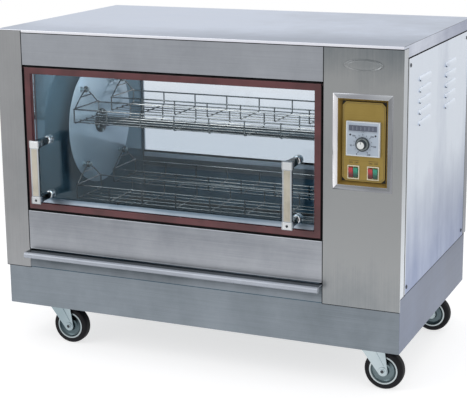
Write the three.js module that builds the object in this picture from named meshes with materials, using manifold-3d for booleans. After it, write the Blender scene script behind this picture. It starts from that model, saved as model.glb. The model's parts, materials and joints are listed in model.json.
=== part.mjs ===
// Rotisserie grill on casters: a folded steel cabinet with a lift-up glass door, a turning rotor
// with four hanging baskets, a drip tray, a control column and four swivel casters.
// Millimetres, +Z up, front towards -Y, origin on the floor under the middle of the object.
import * as THREE from "three";
import { mergeVertices } from "three/addons/utils/BufferGeometryUtils.js";
import Module from "manifold-3d";

const wasm = await Module();
wasm.setup();

// Cabinet
const CABINET_WIDTH = 1100;
const CABINET_DEPTH = 660;
const CABINET_HEIGHT = 748;
const SHEET = 2;
const SEAM = 0.8;
const TOUCH = 0.3;
const OVERRUN = 1;
const GRID = 0.001;
const CORNER_RETURN = 36;
const JAMB_DEPTH = 29;
const POST_WIDTH = 74;
const COLUMN_WIDTH = 196;
const HEAD_HEIGHT = 91;
const SILL_HEIGHT = 104;
const TRAY_SLOT_HEIGHT = 54;
const SEAL_FLANGE = 13;
const TOP_FLANGE = 24;
const TOP_LIP = 7;
const TOP_SIDE_LIP = 31;

// Plinth and casters
const CASTER_HEIGHT = 128;
const SKIRT_DROP = 20;
const PLINTH_FRONT_HEIGHT = 108.7;
const PLINTH_SIDE_HEIGHT = 140;
const PLINTH_SIDE_INSET = 2;
const PLINTH_END_INSET = 8;
const PLINTH_SHEET = 3;
const PLINTH_FLANGE = 20;
const RAIL_WIDTH = 120;
const RAIL_FLANGE = 22;
const LEFT_CASTER_INSET = 135;
const RIGHT_CASTER_INSET = 80;
const FRONT_CASTER_INSET = 54;
const REAR_CASTER_INSET = 150;
const CASTER_PLATE_LENGTH = 90;
const CASTER_PLATE_DEPTH = 76;
const CASTER_PLATE_THICKNESS = 2.7;
const CASTER_BOLT_RADIUS = 6;
const CASTER_BOLT_HEIGHT = 4;
const CASTER_BOLT_INSET = 11;
const RACE_RADIUS = 20;
const RACE_HEIGHT = 7;
const FORK_RADIUS = 25;
const FORK_TOP_THICKNESS = 4.5;
const FORK_SHEET = 2.5;
const FORK_INNER_WIDTH = 36;
const FORK_EYE_RADIUS = 13;
const CASTER_TRAIL = 30;
const AXLE_RADIUS = 5;
const AXLE_NUT_RADIUS = 8;
const AXLE_NUT_HEIGHT = 4;
const WHEEL_RADIUS = 50;
const TYRE_WIDTH = 28;
const TYRE_DEPTH = 13;
const TYRE_SHOULDER = 5;
const HUB_RADIUS = 12;
const HUB_WIDTH = 34;
const WHEEL_WEB = 8;

// Side panels
const LOUVRE_COUNT = 5;
const LOUVRE_LENGTH = 88;
const LOUVRE_PITCH = 27;
const LOUVRE_HEIGHT = 12;
const LOUVRE_RISE = 5;
const LOUVRE_SLOT = 5;
const LOUVRE_OFFSET = 125;
const LOUVRE_SHIFT = 20;
const LOUVRE_TOP_DROP = 88;
const SCREW_RADIUS = 4.5;
const SCREW_RISE = 1.5;
const SCREW_INSET = 18;

// Door
const DOOR_GAP = 3;
const DOOR_DEPTH = 24;
const DOOR_FRAME_WIDTH = 21;
const DOOR_GLASS = 5;
const GLASS_RECESS = 11;
const PIVOT_INSET = 5;
const PIVOT_RADIUS = 3;
const PIVOT_REACH = 7;
const SEAL_THICKNESS = 3;
const SEAL_WIDTH = 10;
const SEAL_INSET = 3;

// Door handles
const HANDLE_INSET = 64;
const HANDLE_LENGTH = 167;
const HANDLE_RISE = 35;
const HANDLE_WIDTH = 24;
const HANDLE_FLARE = 2;
const HANDLE_FLARE_LENGTH = 20;
const HANDLE_THICKNESS = 9;
const HANDLE_REACH = 66;
const HANDLE_POST_INSET = 11;
const HANDLE_POST_RADIUS = 7;
const HANDLE_STUD_RADIUS = 4;
const ROSETTE_RADIUS = 11;
const ROSETTE_THICKNESS = 3;

// Rear window
const REAR_FRAME_SIDE = 16;
const REAR_FRAME_RAIL = 24;
const REAR_FRAME_LAP = 8;
const REAR_FRAME_DEPTH = 8.4;
const REAR_GLASS = 4;
const REAR_WINDOW_DROP = 4;

// Chamber
const CHAMBER_WALL_GAP = 8;
const CHAMBER_ROOF_DROP = 74;
const DECK_EDGE = 0.3;
const RUNNER_HEIGHT = 1.7;
const RUNNER_WIDTH = 12;
const RUNNER_INSET = 12;
const GUIDE_HEIGHT = 16;

// Rotor
const ROTOR_FORWARD = 10;
const ROTOR_WALL_GAP = 42;
const ROTOR_TOP_GAP = 12.5;
const SHAFT_RADIUS = 13;
const DISC_MARGIN = 26.5;
const DISC_HUB_RADIUS = 24;
const DISC_HUB_LENGTH = 14;
const BASKET_PIN_RADIUS = 4;
const BASKET_PIN_LENGTH = 24;
const BASKET_PIN_HEAD = 7;
const BASKET_PIN_HEAD_THICKNESS = 2;
const BASKET_COUNT = 4;
const BASKET_END_GAP = 15;
const BASKET_BAYS = 7;
const BASKET_SIDE_INSET = 18.5;
const BASKET_HEATER_GAP = 39;
const BASKET_FLOOR_WIRES = 3;
const BASKET_RIM_DROP = 45;
const BASKET_FLOOR_DROP = 80;
const WIRE = 4;
const HANGER_RADIUS = 1.8;
const EYE_RADIUS = 9;
const EYE_WIDTH = 6;
const EYE_CLEARANCE = 0.5;
const BEARING_SIZE = 80;
const BEARING_FLANGE = 7;
const BEARING_BOSS_RADIUS = 26;
const BEARING_BOSS_LENGTH = 12;
const SHAFT_HOLE_MARGIN = 3;

// Drive
const SPROCKET_TEETH = 24;
const PINION_TEETH = 8;
const CHAIN_PITCH = 12.7;
const TOOTH_RISE = 3.5;
const TOOTH_SINK = 3;
const SPROCKET_WIDTH = 6;
const SPROCKET_STANDOFF = 30;
const SPROCKET_HUB_RADIUS = 22;
const SPROCKET_HUB_LENGTH = 18;
const CHAIN_CLEARANCE = 0.7;
const CHAIN_THICKNESS = 5;
const CHAIN_WIDTH = 9;
const DRIVE_DROP = 150;
const MOTOR_SHAFT_RADIUS = 6;
const PINION_HUB_RADIUS = 11;
const GEARBOX_SIZE = 84;
const GEARBOX_LENGTH = 50;
const GEARBOX_STANDOFF = 48;
const MOTOR_RADIUS = 38;
const MOTOR_LENGTH = 84;
const BRACKET_SHEET = 4;

// Heaters
const HEATER_RADIUS = 4.5;
const HEATER_PASS = 130;
const HEATER_MARGIN = 24;
const HEATER_TAIL = 14;
const UPPER_HEATER_DROP = 98;
const LOWER_HEATER_RISE = 75;

// Drip tray
const TRAY_WALL = 2;
const TRAY_DEPTH = 41;
const TRAY_SIDE_GAP = 4;
const TRAY_REAR_GAP = 30;
const TRAY_HEAD_GAP = 4.7;
const LEDGE_REACH = 34;
const LEDGE_THICKNESS = 3;
const LEDGE_NOSE_RADIUS = 8;

// Control column
const BADGE_WIDTH = 97;
const BADGE_HEIGHT = 27;
const BADGE_RISE = 0.8;
const BADGE_DROP = 47;
const BEZEL_WIDTH = 148;
const BEZEL_HEIGHT = 233;
const BEZEL_DROP = 114.5;
const BEZEL_RIM = 13;
const BEZEL_RISE = 3;
const BEZEL_DEPTH = 12;
const BEZEL_SLOPE = 7;
const BEZEL_LAP = 10;
const PLATE_MARGIN = 1;
const PLATE_CLIP = 9;
const THERMOSTAT_SIZE = 83;
const THERMOSTAT_DROP = 181;
const THERMOSTAT_RISE = 8;
const THERMOSTAT_BODY = 76;
const THERMOSTAT_DEPTH = 55;
const DISPLAY_WIDTH = 69;
const DISPLAY_HEIGHT = 13;
const DISPLAY_DROP = 9;
const DISPLAY_SINK = 0.8;
const KNOB_RADIUS = 17.5;
const KNOB_SKIRT = 5;
const KNOB_GRIP_RADIUS = 10.5;
const KNOB_DEPTH = 17;
const KNOB_TAPER = 1;
const KNOB_DROP = 53;
const KNOB_STEM_RADIUS = 3;
const KNOB_STEM_LENGTH = 9;
const SWITCH_WIDTH = 29;
const SWITCH_HEIGHT = 33;
const SWITCH_DROP = 304.5;
const SWITCH_SPACING = 48.5;
const SWITCH_RISE = 3;
const SWITCH_BODY_DEPTH = 22;
const SWITCH_WALL = 2.4;
const ROCKER_LENGTH = 24;
const ROCKER_SPACING = 11.9;
const ROCKER_WIDTH = 11;
const ROCKER_RISE = 2.4;
const ROCKER_DISH = 1;
const ROCKER_BELLY = 5;
const ROCKER_TILT = 7;
const ROCKER_SIDE = 1.5;
const ROCKER_POCKET = 9;

// Cable gland
const GLAND_RADIUS = 14;
const GLAND_REACH = 20;
const GLAND_NUT = 6;
const GLAND_STEM_RADIUS = 8;
const GLAND_BORE_RADIUS = 4;
const GLAND_INSET = 100;
const GLAND_RISE = 212;

// Shares and counts of the outlines
const BADGE_STEPS = 28;
const ROUND_STEPS = 20;
const SMALL_STEPS = 10;
const PIN_STEPS = 8;
const WIRE_SIDES = 4;
const TUBE_SIDES = 6;
const BEND_STEPS = 6;
const NOSE_STEPS = 8;
const BELT_STEPS = 14;
const GLAND_COLLAR_SHARE = 0.75;
const WELD_SHARE = 0.7;
const TOOTH_TIP_SHARE = 0.18;
const TOOTH_ROOT_SHARE = 0.34;
const ROCKER_BELLY_SHARE = 0.4;
const HEATER_PASS_SHARES = [-1.5, -0.5, 0.5, 1.5];

// Planes of the cabinet
const LEFT = -CABINET_WIDTH / 2;
const RIGHT = CABINET_WIDTH / 2;
const FRONT = -CABINET_DEPTH / 2;
const REAR = CABINET_DEPTH / 2;
const SKIRT_BOTTOM = CASTER_HEIGHT - SKIRT_DROP;
const TOP = SKIRT_BOTTOM + CABINET_HEIGHT;
const BODY_BOTTOM = SKIRT_BOTTOM + PLINTH_FRONT_HEIGHT + TOUCH;
const SIDE_BOTTOM = SKIRT_BOTTOM + PLINTH_SIDE_HEIGHT + SEAM;
const POST_EDGE = LEFT + POST_WIDTH;
const COLUMN_EDGE = RIGHT - COLUMN_WIDTH;
const HEAD = TOP - HEAD_HEIGHT;
const TRAY_HEAD = BODY_BOTTOM + TRAY_SLOT_HEIGHT;
const SILL = TRAY_HEAD + SILL_HEIGHT;
const PANEL_TOP = TOP - SHEET - TOUCH;
const LIP_BOTTOM = TOP - TOP_LIP - SEAM;
const SEAL_FACE = FRONT + DOOR_DEPTH + TOUCH + SEAL_THICKNESS + TOUCH;
const SEAL_BACK = SEAL_FACE + SHEET;
const SIDE_EDGE = REAR - CORNER_RETURN - SEAM;
const CHAMBER_LEFT = POST_EDGE + CHAMBER_WALL_GAP;
const CHAMBER_RIGHT = COLUMN_EDGE - CHAMBER_WALL_GAP;
const CHAMBER_FRONT = SEAL_BACK + TOUCH;
const CHAMBER_REAR = REAR - SHEET - TOUCH - REAR_FRAME_DEPTH - TOUCH;
const ROOF = TOP - CHAMBER_ROOF_DROP;
const DECK = BODY_BOTTOM + SHEET;
const ROTOR_Y = -ROTOR_FORWARD;
const UPPER_HEATER_Z = TOP - UPPER_HEATER_DROP;
const LOWER_HEATER_Z = DECK + LOWER_HEATER_RISE;
const ROTOR_CEILING = UPPER_HEATER_Z - HEATER_RADIUS - ROTOR_TOP_GAP;
const ROTOR_FLOOR = LOWER_HEATER_Z + HEATER_RADIUS + BASKET_HEATER_GAP;
const PIVOT_CIRCLE = (ROTOR_CEILING - ROTOR_FLOOR - DISC_MARGIN - BASKET_FLOOR_DROP) / 2;
const DISC_RADIUS = PIVOT_CIRCLE + DISC_MARGIN;
const ROTOR_Z = ROTOR_CEILING - DISC_RADIUS;
const ROTOR_SPAN = CHAMBER_RIGHT - CHAMBER_LEFT - 2 * ROTOR_WALL_GAP;
const BASKET_LENGTH = ROTOR_SPAN - 2 * BASKET_END_GAP;
const BASKET_WIDTH = PIVOT_CIRCLE - BASKET_SIDE_INSET;
const ROTOR_X = (CHAMBER_LEFT + CHAMBER_RIGHT) / 2;
const MOTOR_Z = ROTOR_Z - DRIVE_DROP;
const SPROCKET_X = CHAMBER_RIGHT + SPROCKET_STANDOFF;
const PITCH_RADIUS = CHAIN_PITCH / (2 * Math.sin(Math.PI / SPROCKET_TEETH));
const PINION_PITCH_RADIUS = CHAIN_PITCH / (2 * Math.sin(Math.PI / PINION_TEETH));
const CONTROL_X = RIGHT - COLUMN_WIDTH / 2;
const FLOOR_OF_BEZEL = FRONT + BEZEL_DEPTH;
const PLATE_FRONT = FLOOR_OF_BEZEL - TOUCH - SHEET;
const GLASS_FRONT = FRONT + GLASS_RECESS;
const HANDLE_FRONT = FRONT - HANDLE_REACH;

// Finishes: colour, roughness, metalness
const FINISHES = {
  brushedSteel: [0x9a9c9c, 0.38, 0.9],
  paleSteel: [0xc8ccdc, 0.4, 0.85],
  plinthSteel: [0x8b939b, 0.42, 0.9],
  chamberSteel: [0x7f95a3, 0.3, 0.9],
  maroon: [0x6e4144, 0.45, 0.2],
  glass: [0xd8e4e8, 0.05, 0],
  blackRubber: [0x1a1a1b, 0.8, 0],
  chrome: [0xd5d7d8, 0.12, 1],
  aluminium: [0xd0d2d6, 0.3, 0.9],
  gold: [0xaa9146, 0.45, 0.6],
  paleGrey: [0xb9c6d3, 0.5, 0],
  slate: [0x323c46, 0.5, 0],
  cream: [0xe4dcc0, 0.5, 0],
  red: [0x8c1f2b, 0.35, 0],
  green: [0x14705c, 0.35, 0],
  zinc: [0xaeb9bd, 0.4, 0.9],
  castGrey: [0x6a6f72, 0.6, 0.6],
  darkSteel: [0x4b4f52, 0.5, 0.9],
};

const grill = new THREE.Group();
grill.name = "rotisserie_grill";
grill.position.y = (HANDLE_REACH - GLAND_REACH) / 2;

// Solids from three.js geometry, and back
function snapped(value) {
  return Math.round(value / GRID) * GRID;
}

function solidOf(geometry) {
  const bare = geometry.clone();
  bare.deleteAttribute("normal");
  bare.deleteAttribute("uv");
  const { array } = bare.attributes.position;
  bare.setAttribute("position", new THREE.Float32BufferAttribute(array.map((value) => snapped(value)), 3));
  const welded = mergeVertices(bare);
  const index = welded.index.array;
  const faces = [];
  for (let i = 0; i < index.length; i += 3) {
    const [a, b, c] = [index[i], index[i + 1], index[i + 2]];
    if (a !== b && b !== c && c !== a) faces.push(a, b, c);
  }
  const vertProperties = new Float32Array(welded.attributes.position.array);
  return new wasm.Manifold(new wasm.Mesh({ numProp: 3, vertProperties, triVerts: new Uint32Array(faces) }));
}

function geometryOf(solid) {
  const mesh = solid.getMesh();
  const geometry = new THREE.BufferGeometry();
  geometry.setAttribute("position", new THREE.BufferAttribute(mesh.vertProperties, 3));
  geometry.setIndex(new THREE.BufferAttribute(mesh.triVerts, 1));
  geometry.computeVertexNormals();
  return geometry;
}

function joined(...solids) {
  return wasm.Manifold.union(solids.flat());
}

function cut(whole, ...tools) {
  return tools.flat().reduce((rest, tool) => rest.subtract(tool), whole);
}

function place(name, solid, finish) {
  const [color, roughness, metalness] = FINISHES[finish];
  const material = new THREE.MeshStandardMaterial({ color, roughness, metalness });
  const mesh = new THREE.Mesh(geometryOf(solid), material);
  mesh.name = name;
  grill.add(mesh);
  return mesh;
}

// A box between two corners
function block(low, high) {
  const box = new THREE.BoxGeometry();
  const corners = box.attributes.position;
  for (let i = 0; i < corners.count; i += 1) {
    const unit = [corners.getX(i), corners.getY(i), corners.getZ(i)];
    corners.setXYZ(i, ...unit.map((value, axis) => (value > 0 ? high[axis] : low[axis])));
  }
  return solidOf(box);
}

// A prism of an outline: along x the outline is (y, z), along y it is (x, z), along z it is (x, y)
function prism(outline, axis, from, to, holes = []) {
  const swap = axis === "y";
  const points = (list, clockwise) => {
    const flat = list.map(([u, v]) => (swap ? new THREE.Vector2(v, u) : new THREE.Vector2(u, v)));
    return THREE.ShapeUtils.isClockWise(flat) === clockwise ? flat : flat.reverse();
  };
  const shape = new THREE.Shape(points(outline, false));
  shape.holes = holes.map((hole) => new THREE.Path(points(hole, true)));
  const geometry = new THREE.ExtrudeGeometry(shape, { depth: to - from, bevelEnabled: false });
  geometry.translate(0, 0, from);
  const turn = new THREE.Matrix4();
  if (axis === "x") turn.set(0, 0, 1, 0, 1, 0, 0, 0, 0, 1, 0, 0, 0, 0, 0, 1);
  if (axis === "y") turn.set(0, 1, 0, 0, 0, 0, 1, 0, 1, 0, 0, 0, 0, 0, 0, 1);
  geometry.applyMatrix4(turn);
  return solidOf(geometry);
}

// A folded sheet: its outer face follows the line, and the metal lies to the left of it
function folded(line, thickness, axis, from, to) {
  const normal = (a, b) => {
    const length = Math.hypot(b[0] - a[0], b[1] - a[1]);
    return [-(b[1] - a[1]) / length, (b[0] - a[0]) / length];
  };
  const inner = line.map((point, i) => {
    const before = i > 0 ? normal(line[i - 1], point) : normal(point, line[i + 1]);
    const after = i < line.length - 1 ? normal(point, line[i + 1]) : before;
    const along = thickness / (1 + before[0] * after[0] + before[1] * after[1]);
    return [point[0] + along * (before[0] + after[0]), point[1] + along * (before[1] + after[1])];
  });
  return prism([...line, ...inner.reverse()], axis, from, to);
}

// A round bar between two points
function rod(from, to, radius, sides = SMALL_STEPS) {
  const start = new THREE.Vector3(...from);
  const end = new THREE.Vector3(...to);
  const geometry = new THREE.CylinderGeometry(radius, radius, start.distanceTo(end), sides);
  const direction = end.clone().sub(start).normalize();
  geometry.applyQuaternion(new THREE.Quaternion().setFromUnitVectors(new THREE.Vector3(0, 1, 0), direction));
  geometry.translate(...start.add(end).multiplyScalar(0.5).toArray());
  return solidOf(geometry);
}

// A turned piece: profile points are (radius, height along the axis)
function turned(profile, axis, centre, sides = ROUND_STEPS, start = 0) {
  const geometry = new THREE.LatheGeometry(profile.map(([r, h]) => new THREE.Vector2(r, h)), sides, start);
  if (axis === "z") geometry.rotateX(Math.PI / 2);
  if (axis === "x") geometry.rotateZ(-Math.PI / 2);
  geometry.translate(...centre);
  return solidOf(geometry);
}

function rectangle(x0, x1, z0, z1) {
  return [[x0, z0], [x1, z0], [x1, z1], [x0, z1]];
}

function ellipse(x, z, rx, rz, steps) {
  return Array.from({ length: steps }, (_, i) => {
    const angle = (2 * Math.PI * i) / steps;
    return [x + rx * Math.cos(angle), z + rz * Math.sin(angle)];
  });
}

function mirroredX(solid) {
  return solid.mirror([1, 0, 0]);
}

// Plinth: a welded skirt with the two channels that the casters bolt to
const plinthX = RIGHT - PLINTH_SIDE_INSET;
const plinthY = REAR - PLINTH_END_INSET;
const frontTop = SKIRT_BOTTOM + PLINTH_FRONT_HEIGHT;
const sideTop = SKIRT_BOTTOM + PLINTH_SIDE_HEIGHT;
const casterColumns = [["left", LEFT + LEFT_CASTER_INSET], ["right", RIGHT - RIGHT_CASTER_INSET]];
const casterRows = [["front", FRONT + FRONT_CASTER_INSET], ["rear", REAR - REAR_CASTER_INSET]];

function makePlinth() {
  const innerX = plinthX - PLINTH_SHEET;
  const innerY = plinthY - PLINTH_SHEET;
  const shell = block([-plinthX, -plinthY, SKIRT_BOTTOM], [plinthX, plinthY, sideTop]);
  const hollow = block([-innerX, -innerY, SKIRT_BOTTOM - OVERRUN], [innerX, innerY, sideTop + OVERRUN]);
  const frontCut = block([-innerX, -plinthY - OVERRUN, frontTop], [innerX, -innerY, sideTop + OVERRUN]);
  const cheeks = [-plinthX, innerX].map((x) =>
    block([x, FRONT + SHEET + TOUCH, frontTop], [x + PLINTH_SHEET, -innerY, sideTop]),
  );
  const rails = casterColumns.map(([, x]) => {
    const [x0, x1] = [x - RAIL_WIDTH / 2, x + RAIL_WIDTH / 2];
    const [low, high] = [CASTER_HEIGHT, CASTER_HEIGHT + RAIL_FLANGE];
    const line = [[x0, high], [x0, low], [x1, low], [x1, high]];
    return folded(line, PLINTH_SHEET, "y", -innerY - OVERRUN, innerY + OVERRUN);
  });
  const flanges = [-innerY - OVERRUN, innerY - PLINTH_FLANGE].map((y) => block(
    [-innerX - OVERRUN, y, frontTop - PLINTH_SHEET],
    [innerX + OVERRUN, y + PLINTH_FLANGE + OVERRUN, frontTop],
  ));
  return joined(cut(shell, hollow, frontCut), cheeks, rails, flanges);
}

// Deck with the strips and guides that the drip tray runs on
const trayLeft = CHAMBER_LEFT + SHEET + TRAY_SIDE_GAP;
const trayRight = CHAMBER_RIGHT - SHEET - TRAY_SIDE_GAP;
const trayRear = CHAMBER_REAR - TRAY_REAR_GAP;

function makeDeck() {
  const edgeX = plinthX - PLINTH_SHEET - DECK_EDGE;
  const rearY = plinthY - PLINTH_SHEET - DECK_EDGE;
  const plate = block([-edgeX, FRONT + SHEET + DECK_EDGE, BODY_BOTTOM], [edgeX, rearY, DECK]);
  const strips = [trayLeft + RUNNER_INSET, trayRight - RUNNER_INSET - RUNNER_WIDTH].map((x) =>
    block([x, CHAMBER_FRONT, DECK - SHEET / 2], [x + RUNNER_WIDTH, trayRear, DECK + RUNNER_HEIGHT]),
  );
  const guides = [trayLeft - TOUCH - SHEET, trayRight + TOUCH].map((x) =>
    block([x, CHAMBER_FRONT, DECK - SHEET / 2], [x + SHEET, trayRear, DECK + GUIDE_HEIGHT]),
  );
  return joined(plate, strips, guides);
}

// Cabinet panels
const jambEnd = FRONT + JAMB_DEPTH;
const returnEnd = FRONT + CORNER_RETURN;
const pivotY = FRONT + PIVOT_INSET;
const pivotZ = HEAD - DOOR_GAP - PIVOT_INSET;
const pivotHole = (x) => rod(
  [x - SHEET - OVERRUN, pivotY, pivotZ], [x + SHEET + OVERRUN, pivotY, pivotZ], PIVOT_RADIUS + TOUCH,
);

function returnCut(x, top) {
  const low = [x - SHEET - OVERRUN, FRONT + SHEET + TOUCH, BODY_BOTTOM - OVERRUN];
  return block(low, [x + SHEET + OVERRUN, returnEnd + OVERRUN, top]);
}

function makeLeftPost() {
  const line = [[LEFT, returnEnd], [LEFT, FRONT], [POST_EDGE, FRONT], [POST_EDGE, jambEnd]];
  const post = folded(line, SHEET, "z", BODY_BOTTOM + TOUCH, PANEL_TOP);
  return cut(post, returnCut(LEFT, SIDE_BOTTOM), returnCut(POST_EDGE, DECK + TOUCH), pivotHole(POST_EDGE));
}

function makeControlColumn() {
  const line = [[COLUMN_EDGE, jambEnd], [COLUMN_EDGE, FRONT], [RIGHT, FRONT], [RIGHT, returnEnd]];
  const column = folded(line, SHEET, "z", BODY_BOTTOM + TOUCH, LIP_BOTTOM);
  const [halfWidth, halfHeight] = [BEZEL_WIDTH / 2 - BEZEL_LAP, BEZEL_HEIGHT / 2 - BEZEL_LAP];
  const middle = TOP - BEZEL_DROP - BEZEL_HEIGHT / 2;
  const window = block(
    [CONTROL_X - halfWidth, FRONT - OVERRUN, middle - halfHeight],
    [CONTROL_X + halfWidth, FRONT + SHEET + OVERRUN, middle + halfHeight],
  );
  const oval = ellipse(CONTROL_X, TOP - BADGE_DROP, BADGE_WIDTH / 2, BADGE_HEIGHT / 2, BADGE_STEPS);
  const badge = prism(oval, "y", FRONT - BADGE_RISE, FRONT + SHEET);
  const returns = [returnCut(RIGHT, SIDE_BOTTOM), returnCut(COLUMN_EDGE, DECK + TOUCH)];
  return joined(cut(column, returns, pivotHole(COLUMN_EDGE), window), badge);
}

function makeUpperFascia() {
  const line = [
    [FRONT + TOP_FLANGE, LIP_BOTTOM], [FRONT, LIP_BOTTOM], [FRONT, HEAD],
    [SEAL_FACE, HEAD], [SEAL_FACE, HEAD - SEAL_FLANGE],
  ];
  return folded(line, SHEET, "x", POST_EDGE + SEAM, COLUMN_EDGE - SEAM);
}

function makeLowerFascia() {
  const line = [
    [SEAL_FACE, SILL + SEAL_FLANGE], [SEAL_FACE, SILL], [FRONT, SILL],
    [FRONT, TRAY_HEAD], [SEAL_FACE, TRAY_HEAD],
  ];
  return folded(line, SHEET, "x", POST_EDGE + SEAM, COLUMN_EDGE - SEAM);
}

function makeTopCover() {
  const plate = block([LEFT, FRONT, TOP - SHEET], [RIGHT, REAR, TOP]);
  const sideLips = [LEFT, RIGHT - SHEET].map((x) =>
    block([x, -SIDE_EDGE, TOP - TOP_SIDE_LIP], [x + SHEET, SIDE_EDGE, TOP]),
  );
  const frontLip = block([POST_EDGE + SEAM, FRONT, TOP - TOP_LIP], [RIGHT, FRONT + SHEET, TOP]);
  const cornerLip = block([RIGHT - SHEET, FRONT, TOP - TOP_LIP], [RIGHT, -SIDE_EDGE + OVERRUN, TOP]);
  return joined(plate, sideLips, frontLip, cornerLip);
}

function makeSidePanel() {
  const [bottom, top] = [SIDE_BOTTOM, TOP - TOP_SIDE_LIP - SEAM];
  let panel = block([RIGHT - SHEET, -SIDE_EDGE, bottom], [RIGHT, SIDE_EDGE, top]);
  for (const centre of [-LOUVRE_OFFSET - LOUVRE_SHIFT, LOUVRE_OFFSET - LOUVRE_SHIFT]) {
    for (let row = 0; row < LOUVRE_COUNT; row += 1) {
      const z = TOP - LOUVRE_TOP_DROP - row * LOUVRE_PITCH;
      const [y0, y1] = [centre - LOUVRE_LENGTH / 2, centre + LOUVRE_LENGTH / 2];
      const hood = folded(
        [[RIGHT + LOUVRE_RISE, z - LOUVRE_HEIGHT], [RIGHT - SHEET / 2, z]], SHEET, "y", y0, y1,
      );
      const slot = block(
        [RIGHT - SHEET - OVERRUN, y0 + SHEET, z - LOUVRE_HEIGHT],
        [RIGHT + OVERRUN, y1 - SHEET, z - LOUVRE_HEIGHT + LOUVRE_SLOT],
      );
      panel = joined(cut(panel, slot), hood);
    }
  }
  const screws = [-1, 1].flatMap((side) => [bottom + SCREW_INSET, top - SCREW_INSET].map((z) => {
    const y = side * (SIDE_EDGE - SCREW_INSET);
    return rod([RIGHT - SHEET / 2, y, z], [RIGHT + SCREW_RISE, y, z], SCREW_RADIUS, PIN_STEPS);
  }));
  return joined(panel, screws);
}

// Rear panel, its window and the cable gland
const windowLow = SILL - REAR_WINDOW_DROP;
const glandX = RIGHT - GLAND_INSET;
const glandZ = SKIRT_BOTTOM + GLAND_RISE;

function makeRearPanel() {
  const line = [[RIGHT, SIDE_EDGE + SEAM], [RIGHT, REAR], [LEFT, REAR], [LEFT, SIDE_EDGE + SEAM]];
  const panel = folded(line, SHEET, "z", SIDE_BOTTOM, PANEL_TOP);
  const opening = block(
    [POST_EDGE, REAR - SHEET - OVERRUN, windowLow], [COLUMN_EDGE, REAR + OVERRUN, HEAD],
  );
  const hole = rod(
    [glandX, REAR - SHEET - OVERRUN, glandZ], [glandX, REAR + OVERRUN, glandZ], GLAND_STEM_RADIUS + TOUCH,
  );
  return cut(panel, opening, hole);
}

const rearInner = [
  POST_EDGE + REAR_FRAME_SIDE, COLUMN_EDGE - REAR_FRAME_SIDE,
  windowLow + REAR_FRAME_RAIL, HEAD - REAR_FRAME_RAIL,
];
const rearFrameBack = REAR - SHEET - TOUCH;
const rearFrameFront = rearFrameBack - REAR_FRAME_DEPTH;

function makeRearFrame() {
  const outer = rectangle(
    POST_EDGE - REAR_FRAME_LAP, COLUMN_EDGE + REAR_FRAME_LAP,
    windowLow - REAR_FRAME_LAP, HEAD + REAR_FRAME_LAP,
  );
  return prism(outer, "y", rearFrameFront, rearFrameBack, [rectangle(...rearInner)]);
}

function makeRearGlass() {
  const [x0, x1, z0, z1] = rearInner;
  const middle = (rearFrameFront + rearFrameBack) / 2;
  return block(
    [x0 + TOUCH, middle - REAR_GLASS / 2, z0 + TOUCH], [x1 - TOUCH, middle + REAR_GLASS / 2, z1 - TOUCH],
  );
}

function makeGland() {
  const collar = GLAND_RADIUS * GLAND_COLLAR_SHARE;
  const profile = [
    [GLAND_BORE_RADIUS, -SHEET - TOUCH - GLAND_NUT], [GLAND_RADIUS, -SHEET - TOUCH - GLAND_NUT],
    [GLAND_RADIUS, -SHEET - TOUCH], [GLAND_STEM_RADIUS, -SHEET - TOUCH], [GLAND_STEM_RADIUS, TOUCH],
    [GLAND_RADIUS, TOUCH], [GLAND_RADIUS, TOUCH + GLAND_NUT], [collar, GLAND_REACH],
    [GLAND_BORE_RADIUS, GLAND_REACH], [GLAND_BORE_RADIUS, -SHEET - TOUCH - GLAND_NUT],
  ];
  return turned(profile, "y", [glandX, REAR, glandZ], SMALL_STEPS);
}

// Chamber walls and roof
const heaterY = HEATER_PASS_SHARES.map((share) => ROTOR_Y + share * HEATER_PASS);

function makeChamberWall(side) {
  const x = side > 0 ? CHAMBER_RIGHT - SHEET : CHAMBER_LEFT;
  const flangeX = side > 0 ? [x, COLUMN_EDGE - SEAM] : [POST_EDGE + SEAM, x + SHEET];
  const wall = block([x, CHAMBER_FRONT, DECK + TOUCH], [x + SHEET, CHAMBER_REAR, ROOF - TOUCH]);
  const flange = block(
    [flangeX[0], SEAL_FACE, SILL + SEAL_FLANGE + SEAM],
    [flangeX[1], CHAMBER_FRONT + SHEET, HEAD - SEAL_FLANGE - SEAM],
  );
  const bore = rod(
    [x - OVERRUN, ROTOR_Y, ROTOR_Z], [x + SHEET + OVERRUN, ROTOR_Y, ROTOR_Z],
    SHAFT_RADIUS + SHAFT_HOLE_MARGIN, ROUND_STEPS,
  );
  const holes = [UPPER_HEATER_Z, LOWER_HEATER_Z].flatMap((z) => [heaterY[0], heaterY[3]].map((y) =>
    rod([x - OVERRUN, y, z], [x + SHEET + OVERRUN, y, z], HEATER_RADIUS + TOUCH, TUBE_SIDES),
  ));
  return cut(joined(wall, flange), bore, side > 0 ? holes : []);
}

function makeRoof() {
  const plate = block([CHAMBER_LEFT, CHAMBER_FRONT, ROOF], [CHAMBER_RIGHT, CHAMBER_REAR, ROOF + SHEET]);
  const flange = block(
    [CHAMBER_LEFT + SHEET + TOUCH, CHAMBER_FRONT, HEAD - SEAL_FLANGE],
    [CHAMBER_RIGHT - SHEET - TOUCH, CHAMBER_FRONT + SHEET, ROOF + SHEET],
  );
  return joined(plate, flange);
}

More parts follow.
